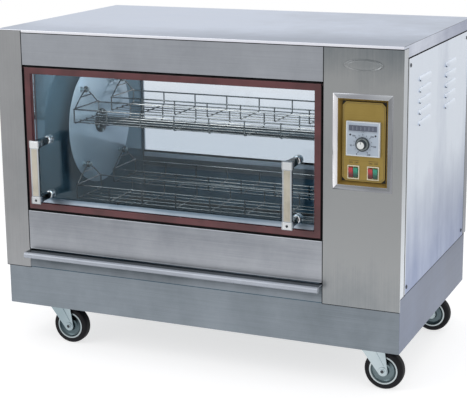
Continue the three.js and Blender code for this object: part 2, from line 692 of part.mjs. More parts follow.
// A heater tube: four passes across the chamber with round bends, both ends out through the right wall
function makeHeater(z) {
  const bend = HEATER_PASS / 2;
  const [near, far] = [CHAMBER_RIGHT - HEATER_MARGIN - bend, CHAMBER_LEFT + HEATER_MARGIN + bend];
  const end = CHAMBER_RIGHT + HEATER_TAIL;
  const spans = [[far, end], [far, near], [far, near], [far, end]];
  const passes = spans.map(([x0, x1], i) =>
    rod([x0, heaterY[i], z], [x1, heaterY[i], z], HEATER_RADIUS, TUBE_SIDES),
  );
  const section = new THREE.Shape(
    ellipse(0, 0, HEATER_RADIUS, HEATER_RADIUS, TUBE_SIDES).map(([u, v]) => new THREE.Vector2(u, v)),
  );
  const bends = [[far, 1], [near, -1], [far, 1]].map(([x, way], i) => {
    const points = Array.from({ length: BEND_STEPS + 1 }, (_, k) => {
      const angle = Math.PI * (k / BEND_STEPS) - Math.PI / 2;
      const [along, across] = [-way * bend * Math.cos(angle), bend * Math.sin(angle)];
      return new THREE.Vector3(x + along, (heaterY[i] + heaterY[i + 1]) / 2 + across, z);
    });
    const path = new THREE.CatmullRomCurve3(points);
    return solidOf(new THREE.ExtrudeGeometry(section, { steps: BEND_STEPS, extrudePath: path }));
  });
  return joined(passes, bends);
}

// Door: frame with its two pivot studs, glass, seal and handles
const doorOuter = [POST_EDGE + DOOR_GAP, COLUMN_EDGE - DOOR_GAP, SILL + DOOR_GAP, HEAD - DOOR_GAP];

function inset([x0, x1, z0, z1], margin) {
  return [x0 + margin, x1 - margin, z0 + margin, z1 - margin];
}

function makeDoorFrame() {
  const ring = prism(
    rectangle(...doorOuter), "y", FRONT, FRONT + DOOR_DEPTH,
    [rectangle(...inset(doorOuter, DOOR_FRAME_WIDTH))],
  );
  const [x0, x1] = doorOuter;
  const studs = [[x0 - PIVOT_REACH, x0 + OVERRUN], [x1 - OVERRUN, x1 + PIVOT_REACH]].map(([a, b]) =>
    rod([a, pivotY, pivotZ], [b, pivotY, pivotZ], PIVOT_RADIUS),
  );
  return joined(ring, studs);
}

const handlePlaces = [["left", doorOuter[0] + HANDLE_INSET], ["right", doorOuter[1] - HANDLE_INSET]];
const handleLow = doorOuter[2] + HANDLE_RISE;
const handlePostZ = [handleLow + HANDLE_POST_INSET, handleLow + HANDLE_LENGTH - HANDLE_POST_INSET];

function makeDoorGlass() {
  const [x0, x1, z0, z1] = inset(doorOuter, DOOR_FRAME_WIDTH + TOUCH);
  const pane = block([x0, GLASS_FRONT, z0], [x1, GLASS_FRONT + DOOR_GLASS, z1]);
  const [near, far] = [GLASS_FRONT - OVERRUN, GLASS_FRONT + DOOR_GLASS + OVERRUN];
  const holes = handlePlaces.flatMap(([, x]) => handlePostZ.map((z) =>
    rod([x, near, z], [x, far, z], HANDLE_STUD_RADIUS + TOUCH),
  ));
  return cut(pane, holes);
}

function makeDoorSeal() {
  const outer = inset(doorOuter, SEAL_INSET);
  const back = FRONT + DOOR_DEPTH + TOUCH;
  return prism(
    rectangle(...outer), "y", back, back + SEAL_THICKNESS, [rectangle(...inset(outer, SEAL_WIDTH))],
  );
}

function makeHandle(x) {
  const [half, wide] = [HANDLE_WIDTH / 2, HANDLE_WIDTH / 2 + HANDLE_FLARE];
  const [low, high] = [handleLow, handleLow + HANDLE_LENGTH];
  const slope = HANDLE_FLARE_LENGTH - HANDLE_FLARE;
  const right = [
    [x + wide, low], [x + wide, low + slope], [x + half, low + HANDLE_FLARE_LENGTH],
    [x + half, high - HANDLE_FLARE_LENGTH], [x + wide, high - slope], [x + wide, high],
  ];
  const left = right.map(([px, pz]) => [2 * x - px, pz]).reverse();
  const bar = prism([...right, ...left], "y", HANDLE_FRONT, HANDLE_FRONT + HANDLE_THICKNESS);
  const back = GLASS_FRONT + DOOR_GLASS + TOUCH;
  const posts = handlePostZ.flatMap((z) => [
    rod([x, HANDLE_FRONT + HANDLE_THICKNESS - OVERRUN, z], [x, GLASS_FRONT - TOUCH, z], HANDLE_POST_RADIUS),
    rod([x, GLASS_FRONT - TOUCH - ROSETTE_THICKNESS, z], [x, GLASS_FRONT - TOUCH, z], ROSETTE_RADIUS),
    rod([x, GLASS_FRONT - TOUCH - ROSETTE_THICKNESS, z], [x, back + OVERRUN, z], HANDLE_STUD_RADIUS),
    rod([x, back, z], [x, back + ROSETTE_THICKNESS, z], ROSETTE_RADIUS),
  ]);
  return joined(bar, posts);
}

// Rotor: shaft, discs with basket pins, bearings
const discFaces = [ROTOR_X - ROTOR_SPAN / 2, ROTOR_X + ROTOR_SPAN / 2];
const shaftLeft = CHAMBER_LEFT - BEARING_FLANGE - BEARING_BOSS_LENGTH;
const shaftRight = SPROCKET_X + SPROCKET_HUB_LENGTH / 2 + SHEET;
const basketPivots = Array.from({ length: BASKET_COUNT }, (_, i) => {
  const angle = (2 * Math.PI * (i + 0.5)) / BASKET_COUNT;
  return [ROTOR_Y + PIVOT_CIRCLE * Math.cos(angle), ROTOR_Z + PIVOT_CIRCLE * Math.sin(angle)];
});

function ring(inner, outer, from, to) {
  return [[inner, from], [outer, from], [outer, to], [inner, to], [inner, from]];
}

function makeDisc(side) {
  const face = side > 0 ? discFaces[1] : discFaces[0];
  const bore = SHAFT_RADIUS + TOUCH;
  const [inner, outer] = [0, side * SHEET];
  const order = (a, b) => [Math.min(a, b), Math.max(a, b)];
  const centre = [face, ROTOR_Y, ROTOR_Z];
  const plate = turned(ring(bore, DISC_RADIUS, ...order(inner, outer)), "x", centre, 2 * ROUND_STEPS);
  const hub = turned(ring(bore, DISC_HUB_RADIUS, ...order(inner, side * DISC_HUB_LENGTH)), "x", centre);
  const pins = basketPivots.flatMap(([y, z]) => {
    const tip = face - side * BASKET_PIN_LENGTH;
    return [
      rod([face + side * SHEET / 2, y, z], [tip, y, z], BASKET_PIN_RADIUS, PIN_STEPS),
      rod([tip + side * BASKET_PIN_HEAD_THICKNESS, y, z], [tip, y, z], BASKET_PIN_HEAD, PIN_STEPS),
    ];
  });
  return joined(plate, hub, pins);
}

function makeBearing(side) {
  const x = side > 0 ? CHAMBER_RIGHT + TOUCH : CHAMBER_LEFT - TOUCH;
  const half = BEARING_SIZE / 2;
  const far = x + side * BEARING_FLANGE;
  const end = x + side * BEARING_BOSS_LENGTH;
  const flange = block(
    [Math.min(x, far), ROTOR_Y - half, ROTOR_Z - half], [Math.max(x, far), ROTOR_Y + half, ROTOR_Z + half],
  );
  const boss = rod([x, ROTOR_Y, ROTOR_Z], [end, ROTOR_Y, ROTOR_Z], BEARING_BOSS_RADIUS, ROUND_STEPS);
  const bore = rod(
    [x - side * OVERRUN, ROTOR_Y, ROTOR_Z], [end + side * OVERRUN, ROTOR_Y, ROTOR_Z],
    SHAFT_RADIUS + TOUCH, ROUND_STEPS,
  );
  return cut(joined(flange, boss), bore);
}

// A basket of welded wire, hanging from its two eyes
function makeBasket([pivotAtY, pivotAtZ]) {
  const half = WIRE / 2;
  const lap = WIRE * WELD_SHARE;
  const spread = (middle, span, count) =>
    Array.from({ length: count }, (_, i) => middle + span * (i / (count - 1) - 1 / 2));
  const stations = spread(ROTOR_X, BASKET_LENGTH, BASKET_BAYS + 1);
  const floorY = spread(pivotAtY, BASKET_WIDTH, BASKET_FLOOR_WIRES);
  const [x0, x1] = [stations[0], stations.at(-1)];
  const [y0, y1] = [floorY[0], floorY.at(-1)];
  const [rim, floor] = [pivotAtZ - BASKET_RIM_DROP, pivotAtZ - BASKET_FLOOR_DROP];
  const long = (y, z) => block([x0 - WIRE, y - half, z - half], [x1 + WIRE, y + half, z + half]);
  const [outY0, outY1] = [y0 - lap - half, y1 + lap + half];
  const [low, high] = [floor - lap - half, rim + half];
  const stirrup = [
    [outY0, high], [outY0, low], [outY1, low], [outY1, high],
    [outY1 - WIRE, high], [outY1 - WIRE, low + WIRE], [outY0 + WIRE, low + WIRE], [outY0 + WIRE, high],
  ];
  const wires = [long(y0, rim), long(y1, rim), ...floorY.map((y) => long(y, floor))];
  wires.push(...stations.map((x) => prism(stirrup, "x", x - half, x + half)));
  for (const x of [x0 + lap, x1 - lap]) {
    wires.push(block([x - half, y0, rim + lap - half], [x + half, y1, rim + lap + half]));
  }
  for (const x of [x0, x1]) {
    for (const y of [y0, y1]) {
      wires.push(rod([x, y, rim], [x, pivotAtY, pivotAtZ], HANGER_RADIUS, WIRE_SIDES));
    }
    const [eyeLeft, eyeRight] = [x - EYE_WIDTH / 2, x + EYE_WIDTH / 2];
    wires.push(rod([eyeLeft, pivotAtY, pivotAtZ], [eyeRight, pivotAtY, pivotAtZ], EYE_RADIUS, PIN_STEPS));
  }
  const bores = [x0, x1].map((x) => rod(
    [x - EYE_WIDTH, pivotAtY, pivotAtZ], [x + EYE_WIDTH, pivotAtY, pivotAtZ],
    BASKET_PIN_RADIUS + EYE_CLEARANCE, PIN_STEPS,
  ));
  return cut(joined(wires), bores);
}

// Drive: sprocket, pinion, chain and gear motor
function toothed(teeth, pitchRadius) {
  const [tip, root] = [pitchRadius + TOOTH_RISE, pitchRadius - TOOTH_SINK];
  const pitch = (2 * Math.PI) / teeth;
  return Array.from({ length: teeth }, (_, i) => [
    [root, -TOOTH_ROOT_SHARE], [tip, -TOOTH_TIP_SHARE], [tip, TOOTH_TIP_SHARE], [root, TOOTH_ROOT_SHARE],
  ].map(([radius, share]) => {
    const angle = (i + share) * pitch;
    return [radius * Math.cos(angle), radius * Math.sin(angle)];
  })).flat();
}

function makeSprocket(teeth, pitchRadius, z, hubRadius, boreRadius) {
  const outline = toothed(teeth, pitchRadius).map(([y, up]) => [ROTOR_Y + y, z + up]);
  const half = SPROCKET_WIDTH / 2;
  const hubHalf = SPROCKET_HUB_LENGTH / 2;
  const disc = prism(outline, "x", SPROCKET_X - half, SPROCKET_X + half);
  const hub = rod([SPROCKET_X - hubHalf, ROTOR_Y, z], [SPROCKET_X + hubHalf, ROTOR_Y, z], hubRadius);
  const bore = rod(
    [SPROCKET_X - hubHalf - OVERRUN, ROTOR_Y, z], [SPROCKET_X + hubHalf + OVERRUN, ROTOR_Y, z],
    boreRadius + TOUCH, ROUND_STEPS,
  );
  return cut(joined(disc, hub), bore);
}

function beltOutline(upper, lower) {
  const lean = Math.asin((upper - lower) / DRIVE_DROP);
  const arc = (radius, z, from, to) => Array.from({ length: BELT_STEPS + 1 }, (_, i) => {
    const angle = from + ((to - from) * i) / BELT_STEPS;
    return [ROTOR_Y + radius * Math.cos(angle), z + radius * Math.sin(angle)];
  });
  return [
    ...arc(upper, ROTOR_Z, -lean, Math.PI + lean),
    ...arc(lower, MOTOR_Z, Math.PI + lean, 2 * Math.PI - lean),
  ];
}

function makeChain() {
  const inner = TOOTH_RISE + CHAIN_CLEARANCE;
  const outer = inner + CHAIN_THICKNESS;
  const outline = (rise) => beltOutline(PITCH_RADIUS + rise, PINION_PITCH_RADIUS + rise);
  const half = CHAIN_WIDTH / 2;
  return prism(outline(outer), "x", SPROCKET_X - half, SPROCKET_X + half, [outline(inner)]);
}

function makeGearMotor() {
  const start = CHAMBER_RIGHT + GEARBOX_STANDOFF;
  const half = GEARBOX_SIZE / 2;
  const gearbox = block(
    [start, ROTOR_Y - half, MOTOR_Z - half], [start + GEARBOX_LENGTH, ROTOR_Y + half, MOTOR_Z + half],
  );
  const motorEnd = start + GEARBOX_LENGTH + MOTOR_LENGTH;
  const motor = rod(
    [start + GEARBOX_LENGTH - OVERRUN, ROTOR_Y, MOTOR_Z], [motorEnd, ROTOR_Y, MOTOR_Z],
    MOTOR_RADIUS, ROUND_STEPS,
  );
  const shaft = rod(
    [SPROCKET_X - SPROCKET_HUB_LENGTH / 2, ROTOR_Y, MOTOR_Z], [start + OVERRUN, ROTOR_Y, MOTOR_Z],
    MOTOR_SHAFT_RADIUS,
  );
  const cheeks = [-half - BRACKET_SHEET, half].map((y) => block(
    [CHAMBER_RIGHT + TOUCH, ROTOR_Y + y, MOTOR_Z - half],
    [start + GEARBOX_LENGTH, ROTOR_Y + y + BRACKET_SHEET, MOTOR_Z + half],
  ));
  const feet = [-half - BRACKET_SHEET - PLINTH_FLANGE, half].map((y) => block(
    [CHAMBER_RIGHT + TOUCH, ROTOR_Y + y, MOTOR_Z - half],
    [CHAMBER_RIGHT + TOUCH + BRACKET_SHEET, ROTOR_Y + y + BRACKET_SHEET + PLINTH_FLANGE, MOTOR_Z + half],
  ));
  return joined(gearbox, motor, shaft, cheeks, feet);
}

// Drip tray with the ledge that serves as its pull
function makeDripTray() {
  const floor = DECK + RUNNER_HEIGHT + TOUCH;
  const [low, high] = [[trayLeft, FRONT, floor], [trayRight, trayRear, floor + TRAY_DEPTH]];
  const basin = cut(
    block(low, high),
    block(
      [low[0] + TRAY_WALL, FRONT + TRAY_WALL, floor + TRAY_WALL],
      [high[0] - TRAY_WALL, high[1] - TRAY_WALL, high[2] + OVERRUN],
    ),
  );
  const [x0, x1] = [POST_EDGE + SEAM, COLUMN_EDGE - SEAM];
  const frontLow = BODY_BOTTOM + SHEET + SEAM;
  const frontHigh = TRAY_HEAD - TRAY_HEAD_GAP;
  const front = block([x0, FRONT, frontLow], [x1, FRONT + TRAY_WALL, frontHigh]);
  const noseY = FRONT - LEDGE_REACH + LEDGE_NOSE_RADIUS;
  const noseZ = frontHigh - LEDGE_NOSE_RADIUS;
  const ledge = block([x0, noseY, frontHigh - LEDGE_THICKNESS], [x1, FRONT + TRAY_WALL / 2, frontHigh]);
  const nose = rod([x0, noseY, noseZ], [x1, noseY, noseZ], LEDGE_NOSE_RADIUS, 2 * NOSE_STEPS);
  return joined(basin, front, ledge, nose);
}

// Control panel: bezel well, plate, thermostat with its knob, and two double rocker switches
const bezelMiddle = TOP - BEZEL_DROP - BEZEL_HEIGHT / 2;
const bezelOuter = [
  CONTROL_X - BEZEL_WIDTH / 2, CONTROL_X + BEZEL_WIDTH / 2,
  bezelMiddle - BEZEL_HEIGHT / 2, bezelMiddle + BEZEL_HEIGHT / 2,
];
const thermostatZ = TOP - THERMOSTAT_DROP - THERMOSTAT_SIZE / 2;
const knobZ = TOP - THERMOSTAT_DROP - KNOB_DROP;
const switchZ = TOP - SWITCH_DROP;
const switchX = [CONTROL_X - SWITCH_SPACING / 2, CONTROL_X + SWITCH_SPACING / 2];
const switchBody = [SWITCH_WIDTH / 2 - SWITCH_WALL / 2, SWITCH_HEIGHT / 2 - SWITCH_WALL / 2];

function centred(x, z, halfX, halfZ) {
  return [x - halfX, x + halfX, z - halfZ, z + halfZ];
}

function taper(front, back, y0, y1) {
  const corners = ([a, b, c, d], y) => [[a, y, c], [b, y, c], [b, y, d], [a, y, d]];
  const geometry = new THREE.BufferGeometry();
  const positions = [...corners(front, y0), ...corners(back, y1)].flat();
  geometry.setAttribute("position", new THREE.Float32BufferAttribute(positions, 3));
  geometry.setIndex([
    0, 1, 2, 0, 2, 3, 4, 6, 5, 4, 7, 6, 0, 4, 5, 0, 5, 1,
    1, 5, 6, 1, 6, 2, 2, 6, 7, 2, 7, 3, 3, 7, 4, 3, 4, 0,
  ]);
  return solidOf(geometry);
}

function controlCutouts(clearance) {
  const halfBody = THERMOSTAT_BODY / 2 + clearance;
  const [halfX, halfZ] = switchBody.map((half) => half + clearance);
  const outlines = [
    centred(CONTROL_X, thermostatZ, halfBody, halfBody),
    ...switchX.map((x) => centred(x, switchZ, halfX, halfZ)),
  ];
  return outlines.map(([x0, x1, z0, z1]) =>
    block([x0, PLATE_FRONT - OVERRUN, z0], [x1, FLOOR_OF_BEZEL + SHEET + OVERRUN, z1]),
  );
}

function makeBezel() {
  const lap = inset(bezelOuter, BEZEL_LAP + TOUCH);
  const rim = prism(rectangle(...bezelOuter), "y", FRONT - BEZEL_RISE, FRONT - TOUCH);
  const well = prism(rectangle(...lap), "y", FRONT - BEZEL_RISE, FLOOR_OF_BEZEL + SHEET);
  const mouth = inset(bezelOuter, BEZEL_RIM);
  const hollow = taper(mouth, inset(mouth, BEZEL_SLOPE), FRONT - BEZEL_RISE, FLOOR_OF_BEZEL);
  const clear = prism(rectangle(...mouth), "y", FRONT - BEZEL_RISE - OVERRUN, FRONT - BEZEL_RISE);
  return cut(joined(rim, well), joined(hollow, clear), controlCutouts(TOUCH));
}

function makeControlPlate() {
  const [x0, x1, z0, z1] = inset(bezelOuter, BEZEL_RIM + BEZEL_SLOPE + PLATE_MARGIN);
  const outline = [
    [x0 + PLATE_CLIP, z0], [x1 - PLATE_CLIP, z0], [x1, z0 + PLATE_CLIP], [x1, z1 - PLATE_CLIP],
    [x1 - PLATE_CLIP, z1], [x0 + PLATE_CLIP, z1], [x0, z1 - PLATE_CLIP], [x0, z0 + PLATE_CLIP],
  ];
  return cut(prism(outline, "y", PLATE_FRONT, PLATE_FRONT + SHEET), controlCutouts(TOUCH));
}

const thermostatFace = PLATE_FRONT - TOUCH - THERMOSTAT_RISE;

function makeThermostat() {
  const face = centred(CONTROL_X, thermostatZ, THERMOSTAT_SIZE / 2, THERMOSTAT_SIZE / 2);
  const body = centred(CONTROL_X, thermostatZ, THERMOSTAT_BODY / 2, THERMOSTAT_BODY / 2);
  const displayTop = thermostatZ + THERMOSTAT_SIZE / 2 - DISPLAY_DROP;
  const display = block(
    [CONTROL_X - DISPLAY_WIDTH / 2, thermostatFace - OVERRUN, displayTop - DISPLAY_HEIGHT],
    [CONTROL_X + DISPLAY_WIDTH / 2, thermostatFace + DISPLAY_SINK, displayTop],
  );
  const stemHole = rod(
    [CONTROL_X, thermostatFace - OVERRUN, knobZ],
    [CONTROL_X, thermostatFace + KNOB_STEM_LENGTH + TOUCH, knobZ],
    KNOB_STEM_RADIUS + TOUCH,
  );
  return cut(
    joined(
      prism(rectangle(...face), "y", thermostatFace, PLATE_FRONT - TOUCH),
      prism(rectangle(...body), "y", thermostatFace + THERMOSTAT_RISE / 2, PLATE_FRONT + THERMOSTAT_DEPTH),
    ),
    display, stemHole,
  );
}

function makeKnob() {
  const [tip, skirt] = [-TOUCH - KNOB_DEPTH, -TOUCH - KNOB_SKIRT];
  const profile = [
    [0, tip], [KNOB_GRIP_RADIUS - KNOB_TAPER, tip], [KNOB_GRIP_RADIUS, skirt],
    [KNOB_RADIUS - KNOB_TAPER, skirt], [KNOB_RADIUS, -TOUCH],
    [KNOB_STEM_RADIUS, -TOUCH], [KNOB_STEM_RADIUS, KNOB_STEM_LENGTH], [0, KNOB_STEM_LENGTH],
  ];
  return turned(profile, "y", [CONTROL_X, thermostatFace, knobZ]);
}

const switchFace = PLATE_FRONT - TOUCH - SWITCH_RISE;

function makeSwitchHousing(x) {
  const flange = centred(x, switchZ, SWITCH_WIDTH / 2, SWITCH_HEIGHT / 2);
  const body = centred(x, switchZ, ...switchBody);
  const pocket = inset(flange, SWITCH_WALL);
  return cut(
    joined(
      prism(rectangle(...flange), "y", switchFace, PLATE_FRONT - TOUCH),
      prism(rectangle(...body), "y", switchFace + SWITCH_RISE / 2, switchFace + SWITCH_BODY_DEPTH),
    ),
    prism(rectangle(...pocket), "y", switchFace - OVERRUN, switchFace + ROCKER_POCKET),
  );
}

// A rocker leans at rest and tips the other way when it is pressed
function makeRocker(x) {
  const half = ROCKER_LENGTH / 2;
  const belly = half * ROCKER_BELLY_SHARE;
  const outline = [
    [half, -ROCKER_RISE], [0, -ROCKER_RISE + ROCKER_DISH], [-half, -ROCKER_RISE], [-half, ROCKER_SIDE],
    [-belly, ROCKER_BELLY], [belly, ROCKER_BELLY], [half, ROCKER_SIDE],
  ];
  const lean = THREE.MathUtils.degToRad(ROCKER_TILT);
  const leaning = outline.map(([up, back]) => [
    switchFace + back * Math.cos(lean) - up * Math.sin(lean),
    switchZ + back * Math.sin(lean) + up * Math.cos(lean),
  ]);
  return prism(leaning, "x", x - ROCKER_WIDTH / 2, x + ROCKER_WIDTH / 2);
}

// Casters: plate bolted under the channel, fork that swivels below it, wheel on the fork's axle
const plateTop = CASTER_HEIGHT - TOUCH;
const plateBottom = plateTop - CASTER_PLATE_THICKNESS;
const forkTop = plateBottom - RACE_HEIGHT - TOUCH;

function makeCasterPlate(x, y) {
  const [halfX, halfY] = [CASTER_PLATE_LENGTH / 2, CASTER_PLATE_DEPTH / 2];
  const plate = block([x - halfX, y - halfY, plateBottom], [x + halfX, y + halfY, plateTop]);
  const race = rod([x, y, plateBottom - RACE_HEIGHT], [x, y, plateTop], RACE_RADIUS);
  const bolts = [-1, 1].flatMap((i) => [-1, 1].map((j) => {
    const [bx, by] = [x + i * (halfX - CASTER_BOLT_INSET), y + j * (halfY - CASTER_BOLT_INSET)];
    const head = plateBottom - CASTER_BOLT_HEIGHT;
    return rod([bx, by, head], [bx, by, plateTop], CASTER_BOLT_RADIUS, TUBE_SIDES);
  }));
  return joined(plate, race, bolts);
}

function makeFork(x, y) {
  const wheelX = x + CASTER_TRAIL;
  const head = rod([x, y, forkTop - FORK_TOP_THICKNESS], [x, y, forkTop], FORK_RADIUS);
  const shoulder = forkTop - FORK_TOP_THICKNESS / 2;
  const eye = ellipse(wheelX, WHEEL_RADIUS, FORK_EYE_RADIUS, FORK_EYE_RADIUS, SMALL_STEPS)
    .filter(([, z]) => z <= WHEEL_RADIUS)
    .sort((a, b) => a[0] - b[0]);
  const cheek = [...eye, [x + FORK_RADIUS, shoulder], [x - FORK_RADIUS, shoulder]];
  const inner = FORK_INNER_WIDTH / 2;
  const cheeks = [-inner - FORK_SHEET, inner].map((dy) => prism(cheek, "y", y + dy, y + dy + FORK_SHEET));
  const bridge = block(
    [x - FORK_RADIUS, y - inner - FORK_SHEET, forkTop - FORK_TOP_THICKNESS],
    [x + FORK_RADIUS, y + inner + FORK_SHEET, forkTop],
  );
  const outer = inner + FORK_SHEET + AXLE_NUT_HEIGHT;
  const axle = rod([wheelX, y - outer, WHEEL_RADIUS], [wheelX, y + outer, WHEEL_RADIUS], AXLE_RADIUS);
  const nuts = [-outer, outer - AXLE_NUT_HEIGHT].map((dy) => rod(
    [wheelX, y + dy, WHEEL_RADIUS], [wheelX, y + dy + AXLE_NUT_HEIGHT, WHEEL_RADIUS],
    AXLE_NUT_RADIUS, TUBE_SIDES,
  ));
  return joined(head, cheeks, bridge, axle, nuts);
}

// The tyre is widened to its facets' corners, so that a flat facet rests on the floor
function makeWheel(x, y) {
  const bore = AXLE_RADIUS + TOUCH;
  const halfFacet = Math.PI / ROUND_STEPS;
  const tread = WHEEL_RADIUS / Math.cos(halfFacet);
  const [tyre, web, hub] = [TYRE_WIDTH / 2, WHEEL_WEB / 2, HUB_WIDTH / 2];
  const rim = WHEEL_RADIUS - TYRE_DEPTH;
  const half = [
    [bore, hub], [HUB_RADIUS, hub], [HUB_RADIUS, web], [rim, web], [rim, tyre],
    [tread - TYRE_SHOULDER, tyre], [tread, tyre - TYRE_SHOULDER],
  ];
  const profile = [...half.map(([r, h]) => [r, -h]), ...half.reverse(), [bore, -hub]];
  return turned(profile, "y", [x + CASTER_TRAIL, y, WHEEL_RADIUS], ROUND_STEPS, halfFacet);
}

// The whole grill
place("plinth_frame", makePlinth(), "plinthSteel");
place("chassis_deck", makeDeck(), "chamberSteel");
place("left_post", makeLeftPost(), "brushedSteel");
place("control_column", makeControlColumn(), "brushedSteel");
place("upper_fascia", makeUpperFascia(), "brushedSteel");
place("lower_fascia", makeLowerFascia(), "brushedSteel");
place("top_cover", makeTopCover(), "paleSteel");
place("right_side_panel", makeSidePanel(), "paleSteel");
place("left_side_panel", mirroredX(makeSidePanel()), "paleSteel");
place("rear_panel", makeRearPanel(), "brushedSteel");
place("rear_window_frame", makeRearFrame(), "brushedSteel");
place("rear_glass", makeRearGlass(), "glass");
place("cable_gland", makeGland(), "blackRubber");

place("chamber_left_wall", makeChamberWall(-1), "chamberSteel");
place("chamber_right_wall", makeChamberWall(1), "chamberSteel");
place("chamber_roof", makeRoof(), "chamberSteel");
place("upper_heater", makeHeater(UPPER_HEATER_Z), "darkSteel");
place("lower_heater", makeHeater(LOWER_HEATER_Z), "darkSteel");

place("door_frame", makeDoorFrame(), "maroon");
place("door_glass", makeDoorGlass(), "glass");
place("door_seal", makeDoorSeal(), "blackRubber");
for (const [side, x] of handlePlaces) place(`${side}_door_handle`, makeHandle(x), "chrome");

const shaftEnds = [shaftLeft, shaftRight].map((x) => [x, ROTOR_Y, ROTOR_Z]);
place("rotor_shaft", rod(...shaftEnds, SHAFT_RADIUS, ROUND_STEPS), "chrome");
place("left_rotor_disc", makeDisc(-1), "chamberSteel");
place("right_rotor_disc", makeDisc(1), "chamberSteel");
place("left_bearing", makeBearing(-1), "castGrey");
place("right_bearing", makeBearing(1), "castGrey");
basketPivots.forEach((pivot, i) => place(`basket_${i + 1}`, makeBasket(pivot), "chrome"));

const sprocket = makeSprocket(SPROCKET_TEETH, PITCH_RADIUS, ROTOR_Z, SPROCKET_HUB_RADIUS, SHAFT_RADIUS);
const pinion = makeSprocket(
  PINION_TEETH, PINION_PITCH_RADIUS, MOTOR_Z, PINION_HUB_RADIUS, MOTOR_SHAFT_RADIUS,
);
place("rotor_sprocket", sprocket, "darkSteel");
place("motor_pinion", pinion, "darkSteel");
place("drive_chain", makeChain(), "darkSteel");
place("gear_motor", makeGearMotor(), "castGrey");

place("drip_tray", makeDripTray(), "brushedSteel");

place("control_bezel", makeBezel(), "aluminium");
place("control_plate", makeControlPlate(), "gold");
place("thermostat", makeThermostat(), "paleGrey");
place("thermostat_knob", makeKnob(), "slate");
["left", "right"].forEach((side, i) => {
  place(`${side}_switch_housing`, makeSwitchHousing(switchX[i]), "cream");
  place(`${side}_red_rocker`, makeRocker(switchX[i] - ROCKER_SPACING / 2), "red");
  place(`${side}_green_rocker`, makeRocker(switchX[i] + ROCKER_SPACING / 2), "green");
});

for (const [row, y] of casterRows) {
  for (const [column, x] of casterColumns) {
    place(`${row}_${column}_caster_plate`, makeCasterPlate(x, y), "zinc");
    place(`${row}_${column}_caster_fork`, makeFork(x, y), "zinc");
    place(`${row}_${column}_caster_wheel`, makeWheel(x, y), "blackRubber");
  }
}

export default grill;
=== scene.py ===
import json
from math import cos, pi, radians, sin, sqrt

import bmesh
import bpy
from mathutils import Matrix, Vector

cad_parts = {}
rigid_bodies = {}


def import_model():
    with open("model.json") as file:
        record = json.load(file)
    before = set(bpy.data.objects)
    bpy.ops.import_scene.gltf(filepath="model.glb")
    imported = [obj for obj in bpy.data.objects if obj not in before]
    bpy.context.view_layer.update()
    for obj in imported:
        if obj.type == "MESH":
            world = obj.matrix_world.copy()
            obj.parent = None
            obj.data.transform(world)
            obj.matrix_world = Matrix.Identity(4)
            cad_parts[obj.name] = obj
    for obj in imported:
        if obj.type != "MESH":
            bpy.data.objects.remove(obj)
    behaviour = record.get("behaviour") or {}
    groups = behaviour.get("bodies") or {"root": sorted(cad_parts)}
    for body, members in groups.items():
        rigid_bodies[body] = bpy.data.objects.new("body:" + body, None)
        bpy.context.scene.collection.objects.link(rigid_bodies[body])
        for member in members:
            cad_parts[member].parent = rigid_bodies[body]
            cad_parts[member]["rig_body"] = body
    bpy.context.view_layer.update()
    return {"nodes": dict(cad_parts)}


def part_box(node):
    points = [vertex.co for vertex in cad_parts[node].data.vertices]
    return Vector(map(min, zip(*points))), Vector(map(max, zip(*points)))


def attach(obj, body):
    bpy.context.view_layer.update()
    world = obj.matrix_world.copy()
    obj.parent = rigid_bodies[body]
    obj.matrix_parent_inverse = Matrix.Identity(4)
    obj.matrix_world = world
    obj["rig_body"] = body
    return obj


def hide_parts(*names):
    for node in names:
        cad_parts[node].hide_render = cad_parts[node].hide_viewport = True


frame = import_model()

# Lengths are in millimetres up to the point where a mesh is made
MM = 0.001
NODES = frame["nodes"]


def span(node):
    """The low and the high corner of a CAD node's box"""
    low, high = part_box(node)
    return [v / MM for v in low], [v / MM for v in high]


def put(name, data):
    """A new object in the scene"""
    made = bpy.data.objects.new(name, data)
    bpy.context.scene.collection.objects.link(made)
    return made


# Camera, at the photograph's viewing angle, in pixels, degrees and metres
IMAGE_WIDTH, IMAGE_HEIGHT = 467, 400
SENSOR = 36
VIEW_LENGTH, VIEW_ROW = 1300.6, 170
HEADING, TILT, ROLL = 23.438, -12.848, 0.553
STAND = (1.3629, -3.1707, 1.2451)
NEAREST, FARTHEST = 0.05, 60


def aim_camera():
    data = bpy.data.cameras.new("camera")
    data.sensor_width = SENSOR
    data.lens = VIEW_LENGTH / IMAGE_WIDTH * SENSOR
    data.shift_y = (VIEW_ROW - IMAGE_HEIGHT / 2) / IMAGE_WIDTH
    data.clip_start, data.clip_end = NEAREST, FARTHEST
    turn = Matrix.Rotation(radians(HEADING), 4, "Z") @ Matrix.Rotation(radians(TILT), 4, "X")
    turn = turn @ Matrix.Rotation(radians(ROLL), 4, "Y") @ Matrix.Rotation(radians(90), 4, "X")
    camera = put("camera", data)
    camera.matrix_world = Matrix.Translation(STAND) @ turn
    bpy.context.scene.camera = camera


aim_camera()

# Places of the outputs that are used on nodes with several; the rays are seen, glossy and passed through
OBJECT_PLACE, MIXED_COLOUR, VECTOR_LENGTH = 3, 2, 1
RAYS = (0, 3, 6)
WHITE = (1, 1, 1, 1)
FINISHES = {}


